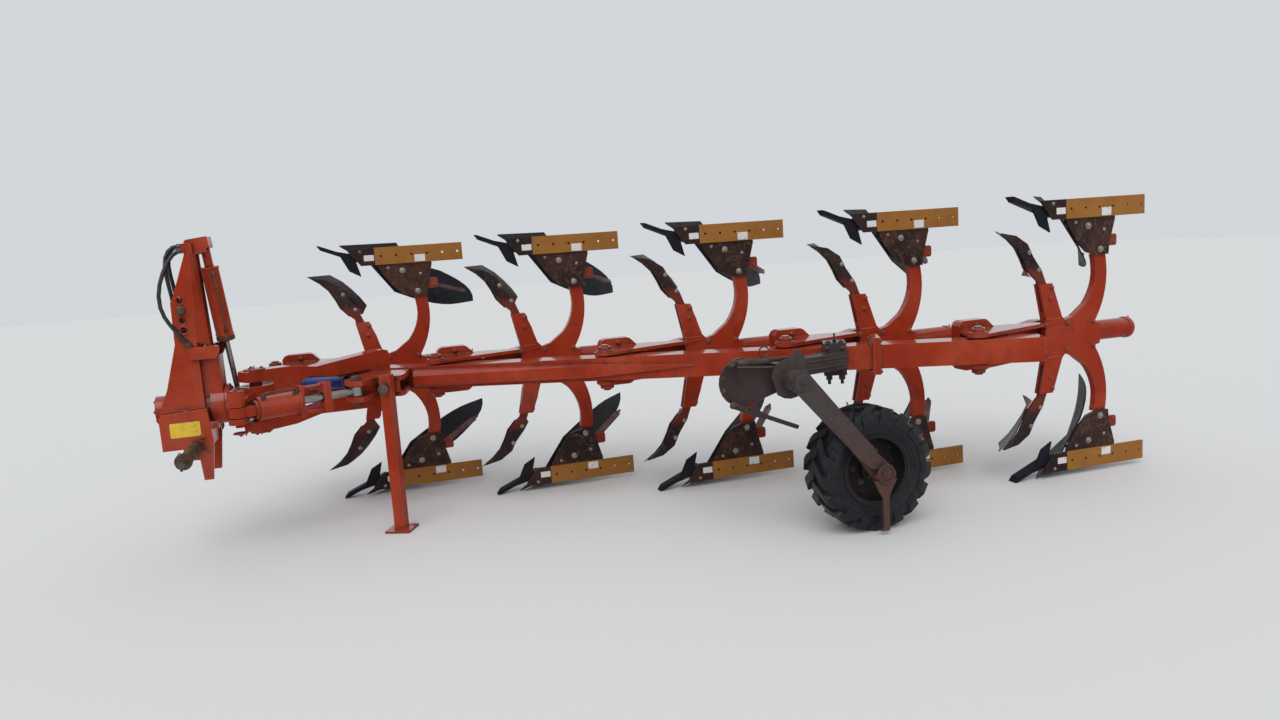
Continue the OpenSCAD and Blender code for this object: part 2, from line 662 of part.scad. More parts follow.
// The cylinder leans sideways to its crank and rearwards by its slant.
turn_lean = atan(turn_crank / turn_top);
turn_len = norm([turn_crank, turn_top]);
barrel_end = 489;
module at_turn_top() translate([turn_x, 0, mid_z + turn_top]) rotate([turn_lean, 0, 0]) children();
module slanted() rotate([0, -atan(turn_slant / turn_len), 0]) children();
module turnover_barrel()
    at_turn_top()
        difference() {
            union() {
                translate([-14, 0, 0]) rotate([0, 90, 0]) cylinder(h = 28, r = 32);
                slanted() {
                    translate([0, 0, -130]) cylinder(h = 112, r = 22);
                    translate([0, 0, -barrel_end]) cylinder(h = barrel_end - 105, r = turn_barrel_r);
                }
            }
            rotate([0, 90, 0]) cylinder(h = 100, r = turn_pin_r + run, center = true);
            slanted() translate([0, 0, -barrel_end - 20]) cylinder(h = barrel_end - 120, r = turn_bore_r);
        }
module turnover_rod()
    at_turn_top()
        difference() {
            union() {
                translate([turn_slant - 20, 0, -turn_len]) rotate([0, 90, 0]) cylinder(h = 40, r = 30);
                slanted() translate([0, 0, -turn_len - 2]) cylinder(h = turn_len - 340, r = turn_rod_r);
            }
            translate([turn_slant, 0, -turn_len]) rotate([0, 90, 0])
                cylinder(h = 100, r = foot_pin_r + run, center = true);
        }

// Depth wheel on the left of the beam. Its arm is turned up to stand on the floor.
clamp_u = 3 * interbody - pivot_back + clamp_back;
clamp_half = 60;
wheel_set = [-480, -546];
wheel_pivot = beam_at(clamp_u, beam_face) + wheel_set;
function beam_at(u, c) = [first_body_x + u * cos(beam_angle) - c * sin(beam_angle),
                          first_body_y - u * sin(beam_angle) - c * cos(beam_angle)];
wheel_drop = asin((mid_z - tyre_r) / wheel_arm);
wheel_y = wheel_pivot[1] + 140;
wheel_x = wheel_pivot[0] + wheel_arm * cos(wheel_drop);
bearing_y = wheel_pivot[1] + 345;
stop_y = wheel_pivot[1] + 184;
stop_x = wheel_pivot[0] - 220;
pivot_pin_r = 30;
module at_wheel_pivot() translate([wheel_pivot[0], 0, mid_z]) children();

// Clamp on the beam, the box arm that it carries and the pin of the wheel arm.
module wheel_bracket() {
    at_beam() {
        translate([clamp_u, -beam_offset, 0]) {
            translate([-clamp_half, -beam_w / 2 - 30, -beam_h / 2 - 22])
                cube([2 * clamp_half, 30, beam_h + 44]);
            for (z = [-beam_h / 2 - 22, beam_h / 2])
                translate([-clamp_half, -beam_w / 2 - 30, z]) cube([2 * clamp_half, beam_w + 15, 22]);
            // Eye lug on the clamp and the nuts under it.
            translate([-10, -beam_w / 2 - 24, beam_h / 2 + 16]) cube([20, 26, 30]);
            for (x = [-34, 34])
                translate([x, -beam_w / 2 - 15, -beam_h / 2 - 46]) cylinder(h = 30, r = 17, $fn = 6);
        }
        translate([clamp_u, -beam_offset - beam_w / 2, -45]) linear_extrude(90)
            polygon([[-clamp_half, -25], [clamp_half, -25], [clamp_half, -70], [-488, -500],
                     [-538, -460], [-488, -410]]);
    }
    translate([0, 0, mid_z]) {
        // Half disc that the two stop screws hinge on, welded to the bearing boss.
        plate(concat([for (a = [90 : 15 : 270]) [stop_x, 0] + stop_disc_r * [cos(a), sin(a)]],
                     [[wheel_pivot[0] - 10, -60], [wheel_pivot[0] - 10, 60]]), stop_y - 14, 14);
        translate([wheel_pivot[0] - 185, bearing_y - 30, -30]) cube([60, 40, 60]);
        translate([wheel_pivot[0] - 155, stop_y - 2, -30]) cube([36, bearing_y - stop_y, 60]);
        translate([wheel_pivot[0], bearing_y + 40, 0]) rotate([90, 0, 0])
            cylinder(h = bearing_y + 40 - wheel_pivot[1] + 8, r = pivot_pin_r);
        translate([wheel_pivot[0], bearing_y + 40, 0]) rotate([90, 0, 0])
            cylinder(h = bearing_y + 54 - stop_y, r = 62);
    }
}

screw_r = 17;
stop_pin_x = 72;
stop_pin_z = 98;
screw_y = stop_y - 14 - screw_r - run;
module wheel_stop_screws()
    translate([stop_x, screw_y, mid_z]) {
        bar([-stop_pin_x, 0, stop_pin_z], [130, 0, stop_pin_z - 2], screw_r);
        bar([130, 0, stop_pin_z - 2], [315, 0, stop_pin_z - 4], 11);
        bar([-stop_pin_x, 0, -stop_pin_z], [75, 0, -165], screw_r);
        bar([75, 0, -165], [270, 0, -250], 11);
        // Pins of the two screws, with their heads.
        for (z = [-stop_pin_z, stop_pin_z])
            translate([-stop_pin_x, -screw_r - 8, z]) rotate([-90, 0, 0]) cylinder(h = 12, r = 13);
    }

arm_plate_y = wheel_pivot[1] - 10;
hub_disc_y = screw_y - screw_r - 8;
module wheel_arm()
    at_wheel_pivot() rotate([0, wheel_drop, 0]) {
        difference() {
            union() {
                translate([0, stop_y - 20, 0]) rotate([90, 0, 0])
                    cylinder(h = stop_y - 20 - arm_plate_y, r = 50);
                plate(concat([for (a = [90 : 30 : 270]) [0, 0] + 52 * [cos(a), sin(a)]],
                    [[420, -44], [wheel_arm - 150, -46], [wheel_arm - 60, -30],
                     [wheel_arm - 30, 0], [wheel_arm - 60, 36], [wheel_arm - 150, 50], [420, 46]]),
                    arm_plate_y - 10, 24);
                // Disc with the ear that meets the upper screw.
                plate(concat([for (a = [-80 : 20 : 220]) 97 * [cos(a), sin(a)]]), hub_disc_y - 18, 18);
                plate([[0, 60], [-70, 66], [-84, 118], [-58, 132], [-24, 126], [30, 92]],
                      hub_disc_y - 18, 18);
                // Stub axle and the foot that carries it on the end of the arm.
                translate([wheel_arm, arm_plate_y + 160, 0]) rotate([90, 0, 0]) cylinder(h = 200, r = 22);
                plate([[wheel_arm - 190, -40], [wheel_arm - 190, 40], [wheel_arm + 6, 56],
                       [wheel_arm + 50, 20], [wheel_arm + 50, -20], [wheel_arm + 6, -56]],
                      arm_plate_y + 10, 16);
                // Hanging bar with its gusset, outside the hub.
                rotate([0, -wheel_drop, 0]) translate([wheel_arm * cos(wheel_drop), 0, -wheel_arm * sin(wheel_drop)])
                    hanger();
            }
            translate([0, bearing_y, 0]) rotate([90, 0, 0])
                cylinder(h = bearing_y - wheel_pivot[1] + 9, r = pivot_pin_r + run);
        }
    }
hanger_len = tyre_r - 22;
module hanger() {
    plate([[-64, -30], [64, -30], [30, -92], [18, -120], [16, -hanger_len], [-30, -hanger_len],
           [-32, -hanger_len + 8], [-16, -hanger_len + 16], [-18, -120], [-34, -92]],
          arm_plate_y - 22, 12);
    translate([0, arm_plate_y + 12, 0]) rotate([90, 0, 0]) cylinder(h = 42, r = 36);
    translate([0, arm_plate_y - 28, 0]) rotate([90, 0, 0]) cylinder(h = 12, r = 16, $fn = 6);
}

hub_len = 120;
module wheel_rim()
    translate([wheel_x, wheel_y, tyre_r]) rotate([90, 0, 0])
        difference() {
            union() {
                rotate_extrude() polygon([[rim_r - 18, -tyre_w / 2 + 22], [rim_r, -tyre_w / 2 + 18],
                    [rim_r, tyre_w / 2 - 18], [rim_r - 18, tyre_w / 2 - 22], [rim_r - 24, 40],
                    [rim_r - 40, 10], [60, 10], [60, -10], [rim_r - 40, -10], [rim_r - 24, -40]]);
                cylinder(h = hub_len, r = 62, center = true);
            }
            cylinder(h = 400, r = 22 + run, center = true);
        }

tread_half = tyre_w / 2;
tread_r = tyre_r - lug_h;
module tyre()
    translate([wheel_x, wheel_y, tyre_r]) rotate([90, 0, 0]) {
        rotate_extrude($fn = 64) polygon([[rim_r + run, -tread_half + 22], [rim_r + 45, -tread_half + 2],
            [tread_r - 50, -tread_half], [tread_r - 14, -tread_half + 14], [tread_r, -tread_half + 45],
            [tread_r, tread_half - 45], [tread_r - 14, tread_half - 14], [tread_r - 50, tread_half],
            [rim_r + 45, tread_half - 2], [rim_r + run, tread_half - 22]]);
        for (side = [0, 1], k = [0 : tyre_lugs - 1])
            mirror([0, 0, side]) rotate([0, 0, (k + side / 2) * 360 / tyre_lugs]) lug();
    }

// One lug: it starts past the middle of the tread, sweeps back and ends on the shoulder.
lug_rows = [
    // across the tyre, angle swept back, height of the crown
    [-10, 0, tread_r + lug_h - 3], [34, 4, tread_r + lug_h], [78, 11, tread_r + lug_h],
    [tread_half - 12, 16, tread_r + lug_h - 7], [tread_half + 3, 17.5, tread_r - 26]];
module lug()
    sheet([for (r = lug_rows) [for (side = [1, -1])
        let (a = r[1] + side * lug_w / 2 / tread_r * 180 / PI * (1 + r[0] / 400))
        [r[2] * cos(a), r[2] * sin(a), r[0]]]],
        -(lug_h + 12) * [cos(8), sin(8), 0]);

// The origin lies under the middle of the machine, on the line of the turnover axis.
tail_x = first_body_x + 4 * pitch_x + board_point(1, 0.75)[0];
front_x = -35;
module placed() translate([-(tail_x + front_x) / 2, 0, 0]) children();

placed() color(orange) headstock();
placed() color(steel) hitch_shaft();
placed() color(black) hydraulic_hoses();
placed() color(orange) turnover_barrel();
placed() color(steel) turnover_rod();
placed() color(orange) turnover_yoke();
placed() color(orange) beam();
placed() color(orange) front_arms();
placed() color(orange) beam_stiffener();
placed() color(orange) cylinder_bracket();
placed() color(blue) offset_cylinder();
placed() color(orange) memory_barrel();
placed() color(steel) memory_rod();
placed() color(orange) width_tie_rod();
placed() color(orange) parking_stand();
placed() color(dark) wheel_bracket();
placed() color(dark) wheel_stop_screws();
placed() color(dark) wheel_arm();
placed() color(dark) wheel_rim();
placed() color(black) tyre();
for (i = [0 : 4]) {
    placed() color(orange) at_body(i) carrier();
    placed() color(dark) at_body(i) both_sets() frog();
    placed() color(black) at_body(i) both_sets() bottom();
    placed() color(tan_steel) at_body(i) both_sets() landside_bar();
    placed() color(dark) at_body(i) both_sets() skimmer();
}
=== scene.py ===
"""A five-furrow reversible mounted plough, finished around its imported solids.

X runs rearwards, Y to the right of travel and Z up, in metres. The plough stands
on the points of its lower bottoms, its parking stand and its depth wheel.
"""
import json
import math

import bmesh
import bpy
from mathutils import Matrix, Vector
from mathutils.bvhtree import BVHTree


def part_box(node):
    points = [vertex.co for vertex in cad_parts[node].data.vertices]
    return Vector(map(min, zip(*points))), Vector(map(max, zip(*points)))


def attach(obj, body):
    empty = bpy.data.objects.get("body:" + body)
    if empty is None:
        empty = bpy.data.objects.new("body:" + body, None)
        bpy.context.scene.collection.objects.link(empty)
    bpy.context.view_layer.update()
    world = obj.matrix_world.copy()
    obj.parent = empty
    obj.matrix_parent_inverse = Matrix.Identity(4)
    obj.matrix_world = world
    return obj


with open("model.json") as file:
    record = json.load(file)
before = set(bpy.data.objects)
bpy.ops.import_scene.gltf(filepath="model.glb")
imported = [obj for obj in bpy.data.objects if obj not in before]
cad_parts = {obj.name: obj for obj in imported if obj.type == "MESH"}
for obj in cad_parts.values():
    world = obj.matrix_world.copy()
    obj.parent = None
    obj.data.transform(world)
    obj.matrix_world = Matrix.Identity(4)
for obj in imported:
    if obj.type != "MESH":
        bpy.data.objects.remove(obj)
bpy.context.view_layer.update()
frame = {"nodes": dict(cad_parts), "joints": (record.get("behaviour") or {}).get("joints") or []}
nodes = frame["nodes"]
pivot = {joint["name"]: Vector(joint["pos_m"]) for joint in frame["joints"]}
mid_z = pivot["turnover"].z

# Camera. It stands five metres to the left of the beam, a little behind the headstock and
# at the height of the tower, and looks slightly rearwards and down.
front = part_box("headstock")[0].x + 0.035
camera_place = Vector((front + 1.106, -5.136, 1.528))
camera_right = Vector((0.9558, -0.2861, -0.0680))
camera_down = Vector((-0.1034, -0.1106, -0.9885))
camera_ahead = camera_right.cross(camera_down)
focal_pixels = 896.5
image_width = 1280

lens = bpy.data.cameras.new("camera")
lens.sensor_width = 36.0
lens.lens = focal_pixels / image_width * lens.sensor_width
lens.clip_end = 200.0
camera = bpy.data.objects.new("camera", lens)
bpy.context.scene.collection.objects.link(camera)
turned = Matrix((camera_right, -camera_down, -camera_ahead)).transposed()
camera.matrix_world = Matrix.Translation(camera_place) @ turned.to_4x4()
bpy.context.scene.camera = camera
bpy.context.scene.view_settings.view_transform = "Standard"

# Finishes. Each is painted by patterns in its piece's own coordinates, so that they stay
# with the piece as it moves.


class Shade:
    """A socket in a material's nodes, which takes part in plain sums."""

    def __init__(self, tree, socket=None):
        self.tree = tree
        self.socket = socket

    def node(self, kind, settings=None, inputs=None, output=0):
        """Adds a node of this kind, with its settings set before its sockets."""
        made = self.tree.nodes.new("ShaderNode" + kind)
        for name, value in (settings or {}).items():
            setattr(made, name, value)
        for name, value in (inputs or {}).items():
            if isinstance(value, Shade):
                self.tree.links.new(value.socket, made.inputs[name])
            else:
                made.inputs[name].default_value = value
        return Shade(self.tree, made.outputs[output])

    def maths(self, operation, first, second=0.0):
        """A Math node on two numbers or sockets."""
        return self.node("Math", {"operation": operation}, {0: first, 1: second})

    def __add__(self, other):
        return self.maths("ADD", self, other)

    def __radd__(self, other):
        return self.maths("ADD", other, self)

    def __sub__(self, other):
        return self.maths("SUBTRACT", self, other)

    def __rsub__(self, other):
        return self.maths("SUBTRACT", other, self)

    def __mul__(self, other):
        return self.maths("MULTIPLY", self, other)

    def __rmul__(self, other):
        return self.maths("MULTIPLY", other, self)

    def most(self, other):
        """The larger of the two."""
        return self.maths("MAXIMUM", self, other)

    def above(self, level, soft=0.05):
        """0 below the level, 1 above it, with a soft step between."""
        return self.node("MapRange", {"interpolation_type": "SMOOTHSTEP"},
                         {0: self, 1: level - soft, 2: level + soft})

    def mix(self, mask, other):
        """This colour, and the other one where the mask is 1."""
        return self.node("Mix", {"data_type": "RGBA"}, {0: mask, 6: self, 7: other}, output=2)

    def colour(self, red, green, blue):
        """A plain colour, as a socket that others are mixed into."""
        return self.node("Mix", {"data_type": "RGBA"},
                         {0: 0.0, 6: (red, green, blue, 1.0)}, output=2)

    def stretched(self, x, y, z):
        """This place, squeezed along each axis, so that a pattern on it runs in streaks."""
        return self.node("Mapping", None, {"Vector": self, "Scale": (x, y, z)})

    def noise(self, scale, detail=4.0, roughness=0.55):
        """A noise pattern at this place, from 0 to 1."""
        return self.node("TexNoise", None, {"Vector": self, "Scale": scale, "Detail": detail,
                                            "Roughness": roughness})


def new_finish(name):
    """A material with one plain surface shader, and the place on it to paint from."""
    material = bpy.data.materials.new(name)
    material.use_nodes = True
    return material, Shade(material.node_tree).node("TexCoord", output="Object")


edge_radius = 0.003


def finish(material, relief=None, depth=0.002, **sockets):
    """Sets the surface shader's sockets, and its relief through a Bump node."""
    surface = material.node_tree.nodes["Principled BSDF"]
    if relief is not None:
        rounded = relief.node("Bevel", {"samples": 4}, {"Radius": edge_radius})
        sockets["Normal"] = relief.node("Bump", None, {"Height": relief, "Distance": depth,
                                                       "Strength": 1.0, "Normal": rounded})
    for name, value in sockets.items():
        socket = surface.inputs[name.replace("_", " ")]
        if isinstance(value, Shade):
            material.node_tree.links.new(value.socket, socket)
        else:
            socket.default_value = value
    return material


# Floor and light. A plain pale floor, an even bright overcast sky, and one very soft
# sun from behind the camera, at a level where a colour renders about as it is written.
floor_size = 60.0
floor_colour = (0.74, 0.74, 0.73, 1.0)
bpy.ops.mesh.primitive_plane_add(size=floor_size)
floor = bpy.context.object
floor.name = "floor"
floor_material, _ = new_finish("pale_floor")
finish(floor_material, Base_Color=floor_colour, Roughness=0.85)
floor.data.materials.append(floor_material)

sky = bpy.data.worlds.new("sky")
sky.use_nodes = True
sky.node_tree.nodes["Background"].inputs["Color"].default_value = (0.93, 0.96, 1.0, 1.0)
sky.node_tree.nodes["Background"].inputs["Strength"].default_value = 0.70
bpy.context.scene.world = sky

sun = bpy.data.lights.new("soft_sun", "SUN")
sun.energy = 1.1
sun.angle = math.radians(50.0)
sun_object = bpy.data.objects.new("soft_sun", sun)
bpy.context.scene.collection.objects.link(sun_object)
sun_object.rotation_euler = Vector((0.35, 0.75, -1.0)).to_track_quat("-Z", "Y").to_euler()

# Paint and steel. The paint is old and wet, with scratches, chips to a dark primer, pale
# edges that are partly worn paint and partly a painted highlight, and soil in blotches
# and as painted shade in the corners. Bare steel has streaks of thin rust, and rust colour
# as painted shade in its corners.


def rubbed_and_lit_edges(place, reach):
    """1 on outer edges, broken up by noise: worn paint, and where a highlight is painted."""
    rounded = place.node("Bevel", {"samples": 4}, {"Radius": reach})
    flat = place.node("NewGeometry", output="Normal")
    same = place.node("VectorMath", {"operation": "DOT_PRODUCT"}, {0: rounded, 1: flat},
                      output="Value")
    return ((1.0 - same) * 9.0 - place.noise(60.0) * 1.6).above(0.35, 0.2)


def nook_shade(place, reach):
    """How closed in a spot is by what stands round it, from 0 to 1, for painted shade in corners.
    """
    return 1.0 - place.node("AmbientOcclusion", {"samples": 8}, {"Distance": reach}, output="AO")


def facing_up(place):
    """The upward part of the surface's own direction, from -1 to 1."""
    outward = place.node("TexCoord", output="Normal")
    return place.node("SeparateXYZ", None, {0: outward}, output="Z")


def from_middle(place):
    """How far a spot is above or below the plough's mid-plane."""
    height = place.node("SeparateXYZ", None, {0: place}, output="Z") - mid_z
    return height.most(height * -1.0)


# The front pieces, from this height on, are nearly free of crust.
front_piece_z = 0.664


def paint_finish(name, fresh, faded, primer, soil, roughness, chipped=0.0, soiled=0.0,
                 wetness=1.0, crust=0.0, shank=0.0):
    """Old paint. Chipped, soiled and wetness say how much of each shows, crust adds dried soil
    and rust, and shank is the height from the mid-plane up to which red paint is left."""
    material, place = new_finish(name)
    patches = place.noise(2.2, 5.0)
    blotches = place.noise(14.0, 6.0, 0.65)
    speckle = place.noise(95.0, 3.0)
    scratches = place.stretched(1.0, 1.0, 9.0).noise(26.0, 8.0, 0.75)
    runs = place.stretched(4.0, 4.0, 0.7).noise(5.0, 4.0, 0.55)
    paint = place.colour(*fresh).mix(patches.above(0.52, 0.16), place.colour(*faded))
    paint = paint.mix(blotches.above(0.60, 0.12) * 0.35, place.colour(*[c * 0.5 for c in fresh]))
    paint = paint.mix(runs.above(0.60, 0.14) * 0.22, place.colour(*soil))
    chips = (speckle.above(0.70 - chipped, 0.03) * blotches.above(0.50, 0.08)).most(
        scratches.above(0.735 - chipped, 0.02))
    edges = rubbed_and_lit_edges(place, 0.006)
    bare = chips.most(edges)
    base = paint.mix(chips, place.colour(*primer))
    # Edges are lightened, partly as worn paint and partly as a painted highlight.
    base = base.mix(edges * 0.65, place.colour(*[c * 1.15 + 0.07 for c in faded]))
    # Soil colour, laid in blotches and where soiled, and as painted shade in corners and between
    # parts.
    dirt_and_shade = (nook_shade(place, 0.07) * 1.5 + (blotches - 0.5) * 1.2 + soiled).above(0.72, 0.28) * 0.8
    base = base.mix(dirt_and_shade, place.colour(*soil))
    wet = (facing_up(place) * 0.6 + patches).above(0.70, 0.25) * (1.0 - dirt_and_shade) * wetness
    rough = roughness + 0.25 * bare + 0.3 * dirt_and_shade + 0.2 * (blotches - 0.5)
    relief = blotches * 0.15 + speckle * 0.05 - bare * 0.4 + dirt_and_shade * speckle * 0.5
    if crust:
        crusted = crust * (1.0 - from_middle(place).above(front_piece_z, 0.004) * 0.85)
        swirls = place.node("TexNoise", None, {"Vector": place, "Scale": 9.0, "Detail": 5.0,
                                               "Roughness": 0.6, "Distortion": 3.0})
        marks = swirls.above(0.545, 0.02) * (1.0 - swirls.above(0.575, 0.02))
        marks = marks * blotches.above(0.46, 0.10)
        base = base.mix(marks * crusted, place.colour(0.20, 0.135, 0.085))
        rusty = (patches * 0.6 + blotches * 0.6).above(0.66, 0.10)
        base = base.mix(rusty * crusted, place.colour(0.085, 0.030, 0.018))
        relief = relief + marks * 0.6
    if shank:
        root = 1.0 - (from_middle(place) + (blotches - 0.5) * 0.06).above(shank, 0.030)
        base = base.mix(root * 0.85 * (1.0 - dirt_and_shade * 0.5), place.colour(0.17, 0.032, 0.018))
    return finish(material, relief, 0.0006, Base_Color=base, Roughness=rough, Coat_Weight=wet,
                  Coat_Roughness=0.08, Specular_IOR_Level=0.12)


def steel_finish(name, bright, rust, amount, roughness, metal):
    """Bare steel that thin rust has started to cover. More amount is less rust."""
    material, place = new_finish(name)
    streaks = place.stretched(1.5, 1.5, 7.0).noise(5.0, 7.0, 0.65)
    grain = place.noise(130.0, 2.0)
    blotches = place.noise(9.0, 6.0, 0.6)
    scratches = place.stretched(1.0, 1.0, 12.0).noise(45.0, 6.0, 0.7)
    rusty = (streaks * 0.5 + blotches * 0.5).above(amount, 0.10)
    # Rust colour in blotches, and as painted shade in corners and between parts.
    corner = (nook_shade(place, 0.05) + (blotches - 0.5)).above(0.62, 0.25) * 0.7
    base = place.colour(*bright).mix(scratches.above(0.66, 0.05) * 0.5,
                                     place.colour(*[min(1.0, c * 1.7) for c in bright]))
    base = base.mix(rusty.most(corner), place.colour(*rust))
    rough = roughness + 0.35 * rusty + 0.12 * (grain - 0.5) + 0.2 * corner
    relief = grain * 0.15 + rusty * 0.4 + scratches * 0.1
    return finish(material, relief, 0.0005, Base_Color=base, Roughness=rough,
                  Metallic=metal * (1.0 - 0.8 * rusty), Specular_IOR_Level=0.12)


orange_paint = paint_finish("orange_paint", (0.31, 0.027, 0.008), (0.39, 0.046, 0.014),
                            (0.075, 0.040, 0.030), (0.060, 0.027, 0.018), 0.36,
                            chipped=0.02, soiled=0.06)
bolt_steel = steel_finish("bolt_steel", (0.13, 0.105, 0.085), (0.085, 0.040, 0.024),
                          0.52, 0.45, 0.7)
bright_steel = steel_finish("bright_steel", (0.30, 0.29, 0.28), (0.12, 0.07, 0.045),
                            0.60, 0.30, 1.0)
worn_paint = paint_finish("worn_paint", (0.24, 0.026, 0.010), (0.28, 0.050, 0.022),
                          (0.095, 0.048, 0.032), (0.060, 0.030, 0.020), 0.42,
                          chipped=0.07, soiled=0.12)


def dress(material, *names):
    """Gives CAD nodes this finish."""
    for name in names:
        for slot in nodes[name].material_slots:
            slot.material = material


# Small pieces. Plates, turned pieces, rods, bolts and weld beads are drawn in metres from a
# common place and joined into pieces that ride on the bodies.


def circle(sides):
    """The points of a unit circle."""
    return [(math.cos(2 * math.pi * k / sides), math.sin(2 * math.pi * k / sides))
            for k in range(sides)]


def card(width, height, corner):
    """The outline of a plate about its middle, with cut corners."""
    a, b, c = width / 2, height / 2, corner
    return [(-a + c, -b), (a - c, -b), (a - c * 0.3, -b + c * 0.3), (a, -b + c), (a, b - c),
            (a - c * 0.3, b - c * 0.3), (a - c, b), (-a + c, b), (-a + c * 0.3, b - c * 0.3),
            (-a, b - c), (-a, -b + c), (-a + c * 0.3, -b + c * 0.3)]


def disc(radius, height, bevel=0.003, rise=0.002):
    """The profile of a round plate or head with a bevelled rim."""
    return [(radius, 0.0), (radius, height), (radius - bevel, height + rise)]


def band(inner, outer, width):
    """The profile of a collar round a cylinder."""
    return [(inner, 0.0), (outer, 0.002), (outer, width - 0.002), (inner, width)]


# The profile of a grease nipple.
nipple = [(0.0045, 0.0), (0.0045, 0.006), (0.0028, 0.008), (0.0036, 0.012), (0.0025, 0.015)]


class Work:
    """Small pieces of one finish that ride on one body, drawn from a common place."""

    def __init__(self, name, place=Matrix()):
        self.name = name
        self.place = place
        self.mesh = bmesh.new()

    def loft(self, rings, capped=True):
        """Skins rings with the same number of points each, and caps both ends."""
        rows = [[self.mesh.verts.new(self.place @ point) for point in ring] for ring in rings]
        for low, high in zip(rows, rows[1:]):
            for k in range(len(low)):
                self.mesh.faces.new((low[k - 1], low[k], high[k], high[k - 1]))
        if capped:
            self.mesh.faces.new(rows[0][::-1])
            self.mesh.faces.new(rows[-1])

    def turned(self, foot, along, profile, sides=20):
        """A turned piece, from radii and heights above its foot."""
        foot = Vector(foot)
        along = Vector(along).normalized()
        side = along.orthogonal().normalized()
        up = along.cross(side)
        self.loft([[foot + along * height + radius * (a * side + b * up) for a, b in circle(sides)]
                   for radius, height in profile])

    def rod(self, points, radius, sides=8):
        """A round rod along points. Its radius is one number, or one for each point."""
        points = [Vector(point) for point in points]
        radii = radius if isinstance(radius, list) else [radius] * len(points)
        side = (points[1] - points[0]).orthogonal()
        rings = []
        for k, point in enumerate(points):
            ahead = (points[min(k + 1, len(points) - 1)] - points[max(k - 1, 0)]).normalized()
            side = (side - ahead * side.dot(ahead)).normalized()
            up = ahead.cross(side)
            rings.append([point + radii[k] * (a * side + b * up) for a, b in circle(sides)])
        self.loft(rings)

    def loop(self, middle, axis, radius, thick, sides=24):
        """A closed ring of round bar."""
        middle = Vector(middle)
        axis = Vector(axis).normalized()
        side = axis.orthogonal().normalized()
        up = axis.cross(side)
        spokes = [a * side + b * up for a, b in circle(sides)]
        rings = [[middle + spoke * (radius + thick * a) + axis * thick * b for a, b in circle(8)]
                 for spoke in spokes]
        self.loft(rings + rings[:1], capped=False)

    def slab(self, outline, middle, across, up, thick):
        """A flat piece cut to an outline that is drawn across and up from its middle."""
        across, up = Vector(across).normalized(), Vector(up).normalized()
        out = across.cross(up)
        low = [Vector(middle) + across * a + up * b for a, b in outline]
        self.loft([low, [point + out * thick for point in low]])

    def bolt(self, seat, out, size):
        """A hexagon head on its washer, with the end of the thread. Size is its radius."""
        out = Vector(out).normalized()
        seat = Vector(seat) - out * 0.0008
        washer = [(1.45 * size, 0.0), (1.45 * size, 0.18 * size), (1.36 * size, 0.24 * size)]
        self.turned(seat, out, washer)
        head = [(size, 0.2 * size), (size, 0.78 * size), (0.86 * size, 0.92 * size)]
        self.turned(seat, out, head, 6)
        end = [(0.5 * size, 0.8 * size), (0.5 * size, 1.15 * size), (0.38 * size, 1.25 * size)]
        self.turned(seat, out, end, 12)

    def weld(self, points, radius=0.004):
        """A weld bead along straight stretches, with its ripples."""
        points = [Vector(point) for point in points]
        for start, end in zip(points, points[1:]):
            steps = max(4, int((end - start).length / (1.6 * radius)))
            self.rod([start.lerp(end, k / steps) for k in range(steps + 1)],
                     [radius * (1.0 + 0.2 * math.sin(2.4 * k)) for k in range(steps + 1)], 6)

    def fixed(self, body, material):
        """Makes the piece, with smooth faces between sharp edges."""
        bmesh.ops.remove_doubles(self.mesh, verts=self.mesh.verts, dist=1e-6)
        bmesh.ops.recalc_face_normals(self.mesh, faces=self.mesh.faces)
        for face in self.mesh.faces:
            face.smooth = True
        for edge in self.mesh.edges:
            edge.smooth = edge.calc_face_angle(0.0) < math.radians(40.0)
        shape = bpy.data.meshes.new(self.name)
        self.mesh.to_mesh(shape)
        self.mesh.free()
        shape.materials.append(material)
        piece = bpy.data.objects.new(self.name, shape)
        bpy.context.scene.collection.objects.link(piece)
        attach(piece, body)


trees = {}


def seat(node, start, heading):
    """Where a straight line first meets a CAD node, and the way its face looks there."""
    if node not in trees:
        shape = nodes[node].data
        trees[node] = BVHTree.FromPolygons([v.co for v in shape.vertices],
                                           [p.vertices for p in shape.polygons])
    hit, outward, _, _ = trees[node].ray_cast(Vector(start), Vector(heading).normalized())
    return hit, outward


# Headstock. A welded tower of two folded plates on a box that carries the turnover
# bearing, painted orange.
dress(orange_paint, "headstock")
head_place = Matrix.Translation((front, 0.0, mid_z))
box_side = 0.140
plate_side = 0.100
ledge_z = 0.257
hole_x, hole_top, hole_pitch = 0.155, 0.564, 0.051
shaft_x, shaft_z = 0.150, -0.190

bolts = Work("headstock_bolts", head_place)
for side in (-1, 1):
    for x, z in ((0.183, -0.140), (0.203, -0.208), (0.141, -0.230), (0.241, -0.082)):
        bolts.bolt((x, side * box_side, z), (0, side, 0), 0.011)
for a, b in circle(6):
    bolts.bolt((-0.035, 0.056 * a, 0.056 * b), (-1, 0, 0), 0.009)
for a, b in circle(10):
    bolts.bolt((0.233, 0.0935 * a, 0.0935 * b), (-1, 0, 0), 0.0055)
bolts.turned((0.123, -0.121, -0.005), (0, 0, 1),
             [(0.020, 0.0), (0.020, 0.008), (0.014, 0.012), (0.012, 0.006), (0.001, 0.006)])
bolts.fixed("headstock", worn_paint)

welds = Work("headstock_welds", head_place)
for side in (-1, 1):
    edge = side * (plate_side + 0.001)
    welds.weld([(0.0, edge, -0.003), (0.207, edge, 0.006)])
    welds.weld([(0.159, edge, 0.320), (0.173, edge, ledge_z), (0.292, edge, ledge_z)])
    for k in range(4):
        welds.loop((hole_x, edge, hole_top - k * hole_pitch), (0, 1, 0), 0.0205, 0.0035)
    welds.weld([(0.204, side * 0.0885, 0.785), (0.204, side * 0.0885, 0.849)])
welds.fixed("headstock", orange_paint)

